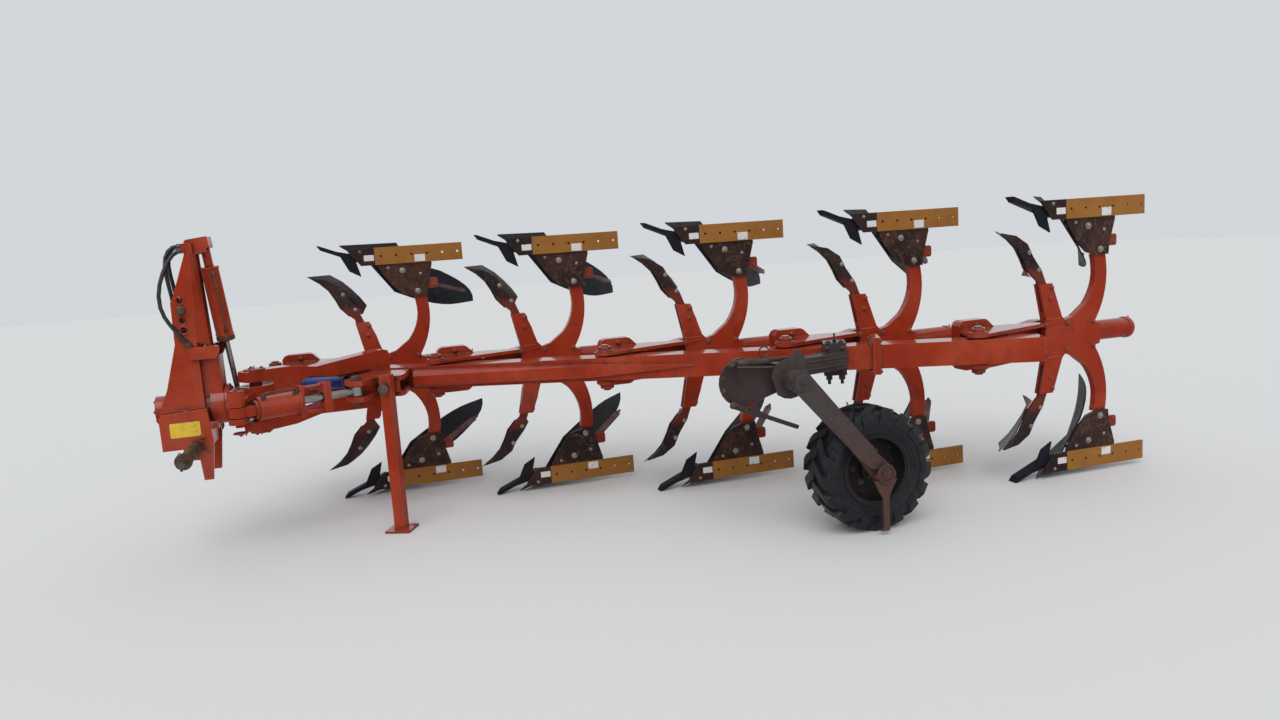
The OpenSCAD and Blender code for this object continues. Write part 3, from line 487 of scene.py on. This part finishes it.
# Top link pin, shoulders and linch pins of the lower links. Plated steel with rings.
pins = Work("hitch_pins", head_place)
pin_z = hole_top - hole_pitch
pins.turned((hole_x, -0.128, pin_z), (0, 1, 0),
            [(0.018, 0.0), (0.021, 0.003), (0.021, 0.009), (0.0152, 0.010), (0.0152, 0.262),
             (0.012, 0.266)])
pins.loop((hole_x - 0.004, 0.130, pin_z - 0.018), (1, 0, 0.2), 0.020, 0.0022)
for side in (-1, 1):
    linch_y = side * 0.556
    pins.turned((shaft_x, side * 0.4820, shaft_z), (0, side, 0),
                [(0.038, 0.0), (0.041, 0.003), (0.041, 0.010), (0.038, 0.013)])
    pins.rod([(shaft_x, linch_y, shaft_z - 0.032), (shaft_x, linch_y, shaft_z + 0.030)], 0.0055)
    pins.loop((shaft_x, linch_y, shaft_z + 0.040), (1, 0.3 * side, 0), 0.017, 0.0022)
pins.fixed("headstock", bolt_steel)

# Blank plate on the left of the box. A thin yellow plate with nothing on it.
yellow, place = new_finish("yellow_plate")
# Grime darkens the plate at random, and as painted shade near other parts.
grime_and_shade = (place.noise(30.0, 6.0, 0.7) + nook_shade(place, 0.03) * 0.4).above(0.62, 0.12)
finish(yellow, place.noise(80.0), 0.0003, Roughness=0.35 + 0.3 * grime_and_shade,
       Base_Color=place.colour(0.78, 0.52, 0.03).mix(grime_and_shade * 0.6, place.colour(0.20, 0.11, 0.04)))
sign = Work("blank_plate", head_place)
sign.slab(card(0.143, 0.076, 0.007), (0.1075, -box_side + 0.0002, -0.094),
          (1, 0, 0), (0, 0, 1), 0.0014)
sign.fixed("headstock", yellow)

# Hydraulic hoses. Black rubber with a fine wrapped cover, and plated ends crimped on.
hose_rubber, place = new_finish("hose_rubber")
wrap = place.stretched(1.0, 1.0, 3.0).noise(220.0, 2.0)
dust = place.noise(25.0, 5.0, 0.6).above(0.58, 0.12)
rubber = place.colour(0.012, 0.012, 0.013).mix(dust * 0.5, place.colour(0.05, 0.042, 0.036))
finish(hose_rubber, wrap, 0.0004, Roughness=0.36 + 0.3 * dust, Base_Color=rubber)
dress(hose_rubber, "hydraulic_hoses")
ends = Work("hose_ends", head_place)
crimp = [(0.0112, 0.0), (0.0112, 0.007), (0.0130, 0.008), (0.0130, 0.024), (0.0112, 0.027)]
hose_seats = [((0.1875, -0.046, 0.816), (-1, -0.05, -0.2)),
              ((0.1875, -0.020, 0.836), (-1, -0.05, 0.1)),
              ((0.1875, 0.020, 0.836), (-1, 0.05, 0.1)), ((0.172, -0.111, 0.3205), (-0.2, 0, 1)),
              ((0.118, -0.052, 0.3835), (0, 0, 1)), ((0.118, 0.052, 0.3835), (0, 0, 1))]
for start, heading in hose_seats:
    ends.turned(start, heading, crimp, 16)
    ends.turned(start, heading, [(0.0150, 0.0), (0.0150, 0.0085), (0.0135, 0.0095)], 6)
ends.fixed("headstock", bolt_steel)

# Turnover cylinder. An orange barrel on a pin in the tower's head, its rod on the yoke,
# with a gland at its end, ports for oil and a steel pipe along its side.
dress(orange_paint, "turnover_barrel")
dress(bright_steel, "turnover_rod")
dress(bolt_steel, "hitch_shaft")
barrel_top = pivot["turnover_head"]
barrel_axis = (pivot["turnover_foot"] + Vector((0.062, 0, 0)) - barrel_top).normalized()
barrel_r, barrel_start, barrel_end = 0.043, 0.105, 0.489
beside = Vector((0.35, -1.0, 0.0)).cross(barrel_axis).cross(barrel_axis).normalized() * -1.0


def on_barrel(height, out=0.0):
    """A spot so far along the turnover barrel, and so far out to its left."""
    return barrel_top + barrel_axis * height + beside * out


gland = Work("turnover_fittings")
gland.turned(on_barrel(barrel_end - 0.012), barrel_axis,
             [(barrel_r, 0.0), (barrel_r + 0.003, 0.001), (barrel_r + 0.003, 0.020),
              (barrel_r - 0.004, 0.024), (0.020, 0.024), (0.020, 0.004)], 32)
for height in (barrel_start + 0.030, barrel_end - 0.045):
    gland.turned(on_barrel(height, barrel_r - 0.003), beside, disc(0.011, 0.010))
    gland.turned(on_barrel(height, barrel_r + 0.009), beside, [(0.0105, 0.0), (0.0105, 0.009)], 6)
pipe = ((barrel_end - 0.045, 0.015), (barrel_end - 0.060, 0.018), (barrel_start + 0.090, 0.018),
        (barrel_start + 0.048, 0.020), (barrel_start + 0.030, 0.017))
gland.rod([on_barrel(height, barrel_r + out) for height, out in pipe], 0.0045)
gland.fixed("turnover_barrel", bolt_steel)
collars = Work("turnover_collars")
for height in (barrel_start, barrel_end - 0.030):
    collars.turned(on_barrel(height), barrel_axis,
                   band(barrel_r - 0.002, barrel_r + 0.003, 0.012), 32)
collars.fixed("turnover_barrel", orange_paint)

# Turnover yoke. A casting on the turnover shaft that holds the frame's upright pin and the
# memory cylinder's foot, bolted to the bearing's flange.
dress(orange_paint, "turnover_yoke", "front_arms")
yoke_bolts = Work("yoke_bolts", head_place)
for degrees in (66, 90, 114, 246, 270, 294):
    a, b = math.cos(math.radians(degrees)), math.sin(math.radians(degrees))
    yoke_bolts.bolt((0.322, 0.088 * a, 0.088 * b), (1, 0, 0), 0.009)
yoke_bolts.bolt((0.371, 0.090, 0.0), (1, 0, 0), 0.015)
yoke_bolts.fixed("yoke", worn_paint)
foot_caps = Work("memory_foot_caps")
for up in (-1, 1):
    spot = pivot["memory_foot"] + Vector((0, 0, up * 0.1015))
    foot_caps.turned(spot, (0, 0, up), disc(0.036, 0.005), 28)
    foot_caps.bolt(spot + Vector((0, 0, up * 0.007)), (0, 0, up), 0.011)
    foot_caps.turned(spot + Vector((0.022, 0.012, up * 0.006)), (0, 0, up), nipple, 10)
foot_caps.fixed("yoke", worn_paint)

# Swing pin caps. The pin of the frame is closed on both arms by a bolted plate with a
# grease nipple.
swing_caps = Work("swing_pin_caps")
for up in (-1, 1):
    spot = pivot["frame_swing"] + Vector((0, 0, up * 0.1625))
    swing_caps.turned(spot, (0, 0, up), disc(0.056, 0.008, 0.004), 32)
    for a, b in circle(3):
        swing_caps.bolt(spot + Vector((0.037 * a, 0.037 * b, up * 0.010)), (0, 0, up), 0.0085)
    swing_caps.turned(spot + Vector((0, 0, up * 0.009)), (0, 0, up), nipple, 10)
swing_caps.fixed("frame", worn_paint)

# Memory cylinder. An orange barrel with two tie bars to a crosshead, which sets how far
# the beam swings in while the plough turns over.
dress(orange_paint, "memory_barrel", "cylinder_bracket")
dress(bright_steel, "memory_rod")
to_eye = pivot["memory_eye"] - pivot["memory_foot"]
memory_turn = Matrix.Rotation(math.atan2(to_eye.y, to_eye.x), 4, "Z")
memory_place = Matrix.Translation(pivot["memory_foot"]) @ memory_turn
memory_bolts = Work("memory_fittings", memory_place)
for z in (-0.066, 0.066):
    memory_bolts.bolt((0.480, 0.0, z), (1, 0, 0), 0.014)
    memory_bolts.turned((0.330, 0.0, z), (1, 0, 0), disc(0.015, 0.012, 0.0015), 6)
port_out = (0, -0.5, 0.87)
for x in (0.118, 0.285):
    memory_bolts.turned((x, -0.028, 0.048), port_out, disc(0.012, 0.020))
    memory_bolts.turned((x, -0.036, 0.062), port_out, [(0.0115, 0.0), (0.0115, 0.010)], 6)
memory_bolts.rod([(0.118, -0.041, 0.072), (0.130, -0.046, 0.080), (0.150, -0.046, 0.080),
                  (0.262, -0.046, 0.080), (0.276, -0.045, 0.078), (0.285, -0.041, 0.072)], 0.0045)
memory_bolts.fixed("memory_barrel", bolt_steel)
memory_trim = Work("memory_collars", memory_place)
for x in (0.096, 0.294):
    memory_trim.turned((x, 0, 0), (1, 0, 0), band(0.056, 0.061, 0.012), 40)
memory_trim.fixed("memory_barrel", orange_paint)
eye_caps = Work("memory_eye_caps")
for up in (-1, 1):
    spot = pivot["memory_eye"] + Vector((0, 0, up * 0.058))
    eye_caps.turned(spot, (0, 0, up), disc(0.034, 0.005), 28)
    eye_caps.turned(spot, (0, 0, up), [(0.026, 0.006), (0.026, 0.022), (0.022, 0.025)], 6)
eye_caps.fixed("frame", bolt_steel)

# Beam. A square steel tube that holds the bodies' carriers, in two lengths that are bolted
# at flanges, with a tapered stiffener on its left and a pin for each carrier.
dress(orange_paint, "beam", "beam_stiffener")
bodies = range(1, 6)


def body_place(i):
    """Where body i is: X from the front of its landside, Z from the plough's mid-plane."""
    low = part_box(f"landsides_{i}")[0]
    return Matrix.Translation((low.x, low.y, mid_z))


first, last = body_place(1).translation, body_place(5).translation
slant = Matrix.Rotation(math.atan2(last.y - first.y, last.x - first.x), 4, "Z")
beam_place = Matrix.Translation(first) @ slant
interbody = (last - first).length / 4
beam_left, beam_right, beam_top = -0.420, -0.270, 0.065
splice_u = 3 * interbody - 0.070
splice_out = 0.020
beam_bolts = Work("beam_bolts", beam_place)
for v in (-0.427, -0.388, -0.345, -0.302, -0.270):
    for z in (0.086, -0.080):
        beam_bolts.bolt((splice_u + splice_out, v, z), (1, 0, 0), 0.010)
        beam_bolts.bolt((splice_u - splice_out, v, z), (-1, 0, 0), 0.010)
for z in (-0.035, 0.035):
    beam_bolts.bolt((splice_u + splice_out, -0.430, z), (1, 0, 0), 0.007)
beam_bolts.fixed("frame", worn_paint)
beam_welds = Work("beam_welds", beam_place)
weld_face = beam_left - 0.001
stiffener_ends = (0.372, 1.410, 2.000)
for edge in ((0.046, 0.030, 0.003), (-0.050, -0.040, -0.003)):
    beam_welds.weld([(u, weld_face, z) for u, z in zip(stiffener_ends, edge)])
for u in (splice_u - splice_out - 0.002, splice_u + splice_out + 0.002):
    beam_welds.weld([(u, beam_left, -beam_top), (u, beam_left, beam_top),
                     (u, beam_right, beam_top)])
beam_welds.fixed("frame", orange_paint)

pin_caps = Work("carrier_pin_caps")
for i in bodies:
    for up in (-1, 1):
        spot = pivot[f"width_{i}"] + Vector((0, 0, up * 0.092))
        pin_caps.turned(spot, (0, 0, up), disc(0.050, 0.006), 28)
        pin_caps.turned(spot, (0, 0, up), [(0.039, 0.008), (0.039, 0.026), (0.034, 0.030)], 6)
        pin_caps.turned(spot, (0, 0, up), [(0.022, 0.028), (0.022, 0.036), (0.019, 0.039)])
pin_caps.fixed("frame", worn_paint)

# Offset cylinder. A small blue cylinder that sets the width of the first furrow.
blue_paint = paint_finish("blue_paint", (0.018, 0.040, 0.25), (0.03, 0.055, 0.28),
                          (0.07, 0.05, 0.04), (0.06, 0.045, 0.05), 0.30)
dress(blue_paint, "offset_cylinder")
offset_ends = Work("offset_collars", beam_place)
offset_v = beam_left - 0.040
for u in (-0.302, -0.058):
    offset_ends.turned((u, offset_v, 0), (1, 0, 0), band(0.034, 0.040, 0.018), 32)
for u in (-0.268, -0.082):
    offset_ends.turned((u, offset_v, 0.034), (0, 0, 1), disc(0.010, 0.012))
offset_ends.fixed("frame", bolt_steel)

# Parking stand. A square tube on a pin in the cylinder bracket, with a linch pin.
dress(orange_paint, "parking_stand")
stand_pin = Work("stand_pin", beam_place)
stand_u, stand_v = 0.345, -0.757
stand_pin.turned((stand_u, stand_v - 0.050, 0), (0, -1, 0), disc(0.030, 0.006), 24)
stand_pin.rod([(stand_u, stand_v - 0.052, 0.030), (stand_u, stand_v - 0.052, -0.034)], 0.005)
stand_pin.loop((stand_u, stand_v - 0.058, 0.044), (0, 1, 0.3), 0.018, 0.0024)
stand_pin.fixed("frame", bolt_steel)
stand_welds = Work("stand_welds", beam_place)
half_tube = 0.031
corners = [(stand_u + a * half_tube, stand_v + b * half_tube, -mid_z + 0.013)
           for a, b in ((-1, -1), (1, -1), (1, 1), (-1, 1), (-1, -1))]
stand_welds.weld(corners, 0.0035)
stand_welds.fixed("stand", orange_paint)

# Body carriers. Two flat arms on the beam's pin carry a cross plate with an upper and a
# lower leg, the skimmers' channels and the trip cylinder that lets a body kick back.
dress(orange_paint, "width_tie_rod", *[f"carrier_{i}" for i in bodies])
leg_face, channel_face = 0.030, 0.025
hump_left, hump_right = 0.112, 0.188
trip_y = 0.133
for i in bodies:
    carrier_bolts = Work(f"carrier_bolts_{i}", body_place(i))
    for up in (-1, 1):
        for x, z in ((0.030, 0.076), (0.209, 0.070)):
            carrier_bolts.bolt((x, leg_face, up * z), (0, -1, 0), 0.012)
        for x, z in ((-0.079, 0.286), (-0.088, 0.226), (-0.120, 0.078)):
            carrier_bolts.bolt((x, channel_face, up * z), (0, -1, 0), 0.011)
        for x, z in ((-0.512, 0.112), (-0.560, 0.070)):
            carrier_bolts.bolt((x, hump_left, up * z), (0, -1, 0), 0.012)
            carrier_bolts.bolt((x, hump_right, up * z), (0, 1, 0), 0.012)
        for x in (0.010, 0.080, 0.150, 0.220):
            carrier_bolts.bolt((x, 0.070, up * 0.050), (0, 1, 0), 0.008)
    carrier_bolts.turned((0.571, trip_y, 0.0), (1, 0, 0), disc(0.016, 0.008), 6)
    carrier_bolts.turned((0.560, trip_y, 0.052), (0, 0, 1), nipple, 10)
    carrier_bolts.fixed(f"body_{i}", worn_paint)
    bands = Work(f"carrier_bands_{i}", body_place(i))
    for x in (0.036, 0.196, 0.520):
        bands.turned((x, trip_y, 0), (1, 0, 0), band(0.056, 0.0625, 0.028), 40)
    hump_face = hump_left - 0.001
    for up in (-1, 1):
        bands.weld([(-0.116, leg_face - 0.004, up * 0.108), (-0.020, leg_face - 0.004, up * 0.108)])
        bands.weld([(0.0, 0.071, up * 0.001), (0.240, 0.071, up * 0.001)])
        bands.weld([(-0.600, hump_face, up * 0.092), (-0.420, hump_face, up * 0.092)])
    bands.fixed(f"body_{i}", orange_paint)

# Frogs. The black steel hearts of the bodies, crusted with soil, with two large bolts each.
# Blank white labels are on the piece ahead of each landside and on the landside itself.
dark_paint = paint_finish("dark_paint", (0.019, 0.011, 0.011), (0.038, 0.019, 0.017),
                          (0.11, 0.042, 0.024), (0.066, 0.034, 0.022), 0.46, chipped=0.03,
                          soiled=0.08, wetness=0.25, crust=0.75)
dress(dark_paint, *[f"frogs_{i}" for i in bodies])
worn_bolts = steel_finish("worn_bolts", (0.34, 0.32, 0.28), (0.13, 0.08, 0.05), 0.58, 0.36, 0.9)
label_paper, place = new_finish("label_paper")
# Smudges darken the labels at random, and as painted shade near other parts.
smudge_and_shade = (place.noise(45.0, 6.0, 0.7) + nook_shade(place, 0.02) * 0.3).above(0.60, 0.10)
finish(label_paper, place.noise(90.0), 0.0002, Roughness=0.5 + 0.2 * smudge_and_shade,
       Base_Color=place.colour(0.72, 0.71, 0.68).mix(smudge_and_shade * 0.6, place.colour(0.22, 0.17, 0.13)))
frog_face = 0.012
for i in bodies:
    frog_bolts = Work(f"frog_bolts_{i}", body_place(i))
    labels = Work(f"labels_{i}", body_place(i))
    for up in (-1, 1):
        for x, z, size in ((0.160, 0.617, 0.0130), (0.244, 0.481, 0.0130), (0.075, 0.640, 0.007),
                           (0.270, 0.590, 0.007)):
            frog_bolts.bolt((x, frog_face, up * z), (0, -1, 0), size)
        frog_bolts.bolt((-0.085, 0.0, up * 0.752), (0, -1, 0), 0.007)
        for x, z, wide, high in ((-0.0355, 0.709, 0.061, 0.036), (0.274, 0.6905, 0.066, 0.045)):
            labels.slab(card(wide, high, 0.003), (x, 0.0002, up * z), (1, 0, 0), (0, 0, 1), 0.0007)
    frog_bolts.fixed(f"body_{i}", worn_bolts)
    labels.fixed(f"body_{i}", label_paper)

# Moldboard stays. A flat bar, bolted at both ends, from a small red bracket on each frog's
# back to the tail of its moldboard.
stay_wide, stay_thick, stay_lap = 0.038, 0.020, 0.040
stay_steel = steel_finish("stay_steel", (0.150, 0.095, 0.088), (0.100, 0.042, 0.030),
                          0.54, 0.5, 0.1)
for i in bodies:
    brackets = Work(f"stay_brackets_{i}", body_place(i))
    rods = Work(f"stay_rods_{i}", body_place(i))
    for up in (-1, 1):
        near, far = Vector((0.300, 0.034, up * 0.530)), Vector((0.575, 0.395, up * 0.440))
        along = (far - near).normalized()
        length = (far - near).length
        brackets.slab(card(0.080, 0.066, 0.012), (0.333, 0.046, up * 0.528),
                      (1, 0, 0), (0, 0, 1), 0.016)
        brackets.bolt((0.318, 0.030, up * 0.546), (0, -1, 0), 0.007)
        brackets.bolt((0.352, 0.030, up * 0.512), (0, -1, 0), 0.007)
        flat = along.cross(Vector((0, 0, 1))).normalized()
        under = near + along * (length / 2) - along.cross(flat) * (stay_thick / 2)
        rods.slab(card(length - 2 * stay_lap, stay_wide, 0.006), under, along, flat, stay_thick)
        for start in (stay_lap + 0.012, length - stay_lap - 0.012):
            rods.bolt(near + along * start + Vector((0, 0, stay_thick / 2)), (0, 0, 1), 0.008)
    brackets.fixed(f"body_{i}", worn_paint)
    rods.fixed(f"body_{i}", stay_steel)

# Landsides. Flat steel bars bolted along the foot of each frog, new, with an even thin
# yellow-brown rust and rain marks.
landside_rust, place = new_finish("landside_rust")
mottle = place.noise(11.0, 7.0, 0.6)
fine = place.noise(160.0, 3.0)
spots = place.noise(48.0, 5.0, 0.65).above(0.66, 0.05)
rust = place.colour(0.330, 0.142, 0.032)
rust = rust.mix(mottle.above(0.52, 0.20) * 0.6, place.colour(0.265, 0.100, 0.022))
rust = rust.mix(spots * 0.5, place.colour(0.135, 0.055, 0.018))
# Painted shade: a darker rust colour in corners and between parts.
rust = rust.mix(nook_shade(place, 0.03).above(0.5, 0.3) * 0.6, place.colour(0.14, 0.065, 0.030))
finish(landside_rust, fine * 0.4 + mottle * 0.3 - spots * 0.3, 0.0005, Base_Color=rust,
       Roughness=0.62 + 0.25 * (mottle - 0.5), Specular_IOR_Level=0.15)
dress(landside_rust, *[f"landsides_{i}" for i in bodies])

# Moldboards and shares. Hard steel, scoured nearly black and wet, with thin brown streaks
# where the soil has run, and flush plough bolts with nuts behind.
scoured_steel = steel_finish("scoured_steel", (0.010, 0.011, 0.016), (0.034, 0.020, 0.015),
                             0.60, 0.56, 0.0)
dress(scoured_steel, *[f"bottoms_{i}" for i in bodies])
board_spots = ((0.060, 0.130), (0.060, 0.215), (0.190, 0.130), (0.190, 0.230),
               (0.360, 0.240), (0.360, 0.330))
board_lean = 0.72
half_height = 0.772
diagonal = 0.707
through = Vector((1, -1, 0))
for i in bodies:
    board_bolts = Work(f"board_bolts_{i}")
    corner = body_place(i).translation
    for up in (-1, 1):
        for run, height in board_spots:
            back = diagonal * run
            spot = corner + Vector((-0.050 + board_lean * (height - 0.080) + back, 0.019 + back,
                                    up * (half_height - height)))
            for way in (-1, 1):
                hit, outward = seat(f"bottoms_{i}", spot - through * 0.12 * way, through * way)
                if hit is None:
                    continue
                if outward.dot(through * way) > 0:
                    outward = -outward
                if way == 1:
                    board_bolts.turned(hit - outward * 0.001, outward,
                                       disc(0.0125, 0.0013, 0.001, 0.0005))
                else:
                    board_bolts.bolt(hit, outward, 0.010)
    board_bolts.fixed(f"body_{i}", bolt_steel)

# Skimmers. Small boards on curved shanks ahead of each bottom, clamped in their channels.
shank_paint = paint_finish("shank_paint", (0.016, 0.012, 0.012), (0.030, 0.019, 0.017),
                           (0.10, 0.040, 0.024), (0.060, 0.032, 0.022), 0.48, chipped=0.03,
                           soiled=0.05, wetness=0.25, crust=0.35, shank=0.40)
dress(shank_paint, *[f"skimmers_{i}" for i in bodies])
for i in bodies:
    skimmer_bolts = Work(f"skimmer_bolts_{i}", body_place(i))
    for up in (-1, 1):
        for x, z in ((-0.150, 0.392), (-0.214, 0.492), (-0.098, 0.270)):
            skimmer_bolts.bolt((x, 0.039, up * z), (0, -1, 0), 0.009)
    skimmer_bolts.fixed(f"body_{i}", worn_bolts)

# Depth wheel bracket. A clamp round the beam, a box arm and a half disc that two stop
# screws hinge on. Black paint gone brown.
bracket_paint = paint_finish("bracket_paint", (0.034, 0.024, 0.025), (0.056, 0.038, 0.038),
                             (0.12, 0.050, 0.026), (0.070, 0.036, 0.025), 0.44,
                             soiled=0.05, wetness=0.4)
dress(bracket_paint, "wheel_bracket", "wheel_stop_screws")
lift, spin = pivot["wheel_lift"], pivot["wheel_spin"]
arm_y = spin.y - 0.140
disc_x, disc_y = lift.x - 0.220, arm_y + 0.170
screw_y = disc_y - 0.0175
clamp_u = 3 * interbody - 0.290
clamp_fittings = Work("clamp_fittings", beam_place)
clamp_fittings.loop((clamp_u, beam_left - 0.012, 0.118), (1, 0, 0), 0.022, 0.0045)
for x in (-0.034, 0.034):
    clamp_fittings.turned((clamp_u + x, beam_left - 0.015, -0.110), (0, 0, -1),
                          disc(0.009, 0.022, 0.002, 0.003), 12)
    clamp_fittings.bolt((clamp_u + x, beam_left - 0.015, beam_top + 0.022), (0, 0, 1), 0.014)
for x in (-0.040, 0.040):
    for z in (-0.060, 0.060):
        clamp_fittings.bolt((clamp_u + x, beam_left - 0.030, z), (0, -1, 0), 0.009)
for z in (-0.020, 0.020):
    clamp_fittings.rod([(clamp_u + 0.055, -0.492, z), (clamp_u - 0.470, -0.906, z)], 0.006)
clamp_fittings.fixed("frame", bracket_paint)
screw_fittings = Work("stop_screw_fittings")
screw_fittings.loop((disc_x + 0.110, screw_y, mid_z + 0.140), (0.2, 1, 0), 0.024, 0.0042)
screw_fittings.rod([(disc_x - 0.045, screw_y - 0.024, mid_z + 0.083),
                    (disc_x + 0.165, screw_y - 0.024, mid_z + 0.062)], 0.0045)
for up in (-1, 1):
    screw_fittings.bolt((disc_x - 0.072, screw_y - 0.024, mid_z + up * 0.098), (0, -1, 0), 0.013)
    screw_fittings.bolt((disc_x - 0.100, disc_y, mid_z + up * 0.030), (0, -1, 0), 0.008)
for x, z in ((0.040, 0.106), (0.010, -0.130)):
    clip = Vector((disc_x + x, screw_y - 0.021, mid_z + z))
    screw_fittings.loop(clip, (0, 1, 0.2), 0.013, 0.002, 16)
    screw_fittings.rod([clip + Vector((-0.012, 0, 0)), clip + Vector((-0.040, -0.001, 0.012))],
                       0.002)
thread = [0.0185 if k % 2 else 0.0168 for k in range(41)]
screw_from = Vector((disc_x - 0.030, screw_y, mid_z + 0.0976))
screw_to = Vector((disc_x + 0.128, screw_y, mid_z + 0.0962))
screw_fittings.rod([screw_from.lerp(screw_to, k / 40) for k in range(41)], thread, 12)
screw_fittings.fixed("frame", bolt_steel)

# Wheel arm. A flat bar on a cross pin, with a boss, a disc against the stop screws and a
# bar that hangs at the hub. Brown with rust, redder towards its lower end.
arm_rust, place = new_finish("arm_rust")
depth = place.node("SeparateXYZ", None, {0: place}, output="Z")
blotches = place.noise(12.0, 7.0, 0.65)
fine = place.noise(120.0, 3.0)
low_end = (0.55 - depth + (blotches - 0.5) * 0.5).above(0.12, 0.20)
rust = place.colour(0.050, 0.036, 0.035)
rust = rust.mix(blotches.above(0.52, 0.12) * 0.7, place.colour(0.060, 0.048, 0.048))
rust = rust.mix(low_end * 0.8, place.colour(0.092, 0.034, 0.023))
rust = rust.mix(fine.above(0.63, 0.06) * 0.5, place.colour(0.15, 0.080, 0.050))
finish(arm_rust, fine * 0.5 + blotches * 0.6, 0.0009, Base_Color=rust,
       Roughness=0.55 + 0.3 * (blotches - 0.5), Specular_IOR_Level=0.3)
dress(arm_rust, "wheel_arm")
arm_fittings = Work("arm_fittings")
arm_face = arm_y - 0.020
arm_fittings.turned((lift.x, arm_face + 0.001, lift.z), (0, -1, 0), disc(0.044, 0.007), 32)
arm_fittings.bolt((lift.x, arm_face - 0.008, lift.z), (0, -1, 0), 0.015)
arm_fittings.turned((lift.x, arm_y + 0.080, lift.z + 0.049), (0, 0, 1), nipple, 10)
arm_fittings.loop((lift.x, arm_y + 0.004, lift.z), (0, 1, 0), 0.052, 0.005, 40)
hanger_face = arm_y - 0.032
for x in (-0.046, 0.046):
    arm_fittings.bolt((spin.x + x, hanger_face, spin.z - 0.010), (0, -1, 0), 0.009)
arm_fittings.loop((spin.x, arm_y - 0.040, spin.z), (0, 1, 0), 0.043, 0.006, 40)
arm_fittings.rod([(spin.x, arm_y - 0.052, spin.z - 0.016),
                  (spin.x, arm_y - 0.052, spin.z + 0.020)], 0.003)
arm_fittings.fixed("wheel_arm", arm_rust)

# Wheel. A steel rim with a welded disc, a hub with six nuts, and a black tyre, wet and
# dusty, with moulded rings on its walls.
rim_paint = paint_finish("rim_paint", (0.014, 0.013, 0.014), (0.024, 0.020, 0.020),
                         (0.070, 0.038, 0.026), (0.045, 0.032, 0.026), 0.5, chipped=0.03,
                         soiled=0.06, wetness=0.3)
dress(rim_paint, "wheel_rim")
hub = Work("hub_fittings")
for side in (-1, 1):
    for a, b in circle(6):
        hub.bolt(spin + Vector((0.086 * a, side * 0.010, 0.086 * b)), (0, side, 0), 0.012)
        hub.bolt(spin + Vector((0.046 * a, side * 0.060, 0.046 * b)), (0, side, 0), 0.006)
hub.rod([spin + Vector((0.098, -0.016, 0.098)), spin + Vector((0.099, -0.040, 0.099)),
         spin + Vector((0.094, -0.062, 0.094))], [0.0045, 0.004, 0.0032])
hub.fixed("wheel", bolt_steel)
tyre_rubber, place = new_finish("tyre_rubber")
dust = place.noise(18.0, 6.0, 0.6)
grain = place.noise(160.0, 2.0)
# Mud colour, laid at random and as painted shade in hollows and beside the rim.
mud_and_shade = (nook_shade(place, 0.05) + (dust - 0.5) * 1.4).above(0.50, 0.25)
rubber = place.colour(0.006, 0.007, 0.010)
rubber = rubber.mix(dust.above(0.55, 0.12) * 0.6, place.colour(0.018, 0.018, 0.020))
rubber = rubber.mix(mud_and_shade * 0.5, place.colour(0.036, 0.028, 0.023))
finish(tyre_rubber, grain + dust * 0.5, 0.0006, Roughness=0.26 + 0.34 * dust,
       Specular_IOR_Level=0.3, Base_Color=rubber)
dress(tyre_rubber, "tyre")
tyre_rings = Work("tyre_rings")
for side in (-1, 1):
    for radius, out in ((0.192, 0.0985), (0.206, 0.1050), (0.2315, 0.1136), (0.258, 0.1075)):
        tyre_rings.loop(spin + Vector((0, side * out, 0)), (0, 1, 0), radius, 0.0028, 72)
tyre_rings.fixed("wheel", tyre_rubber)
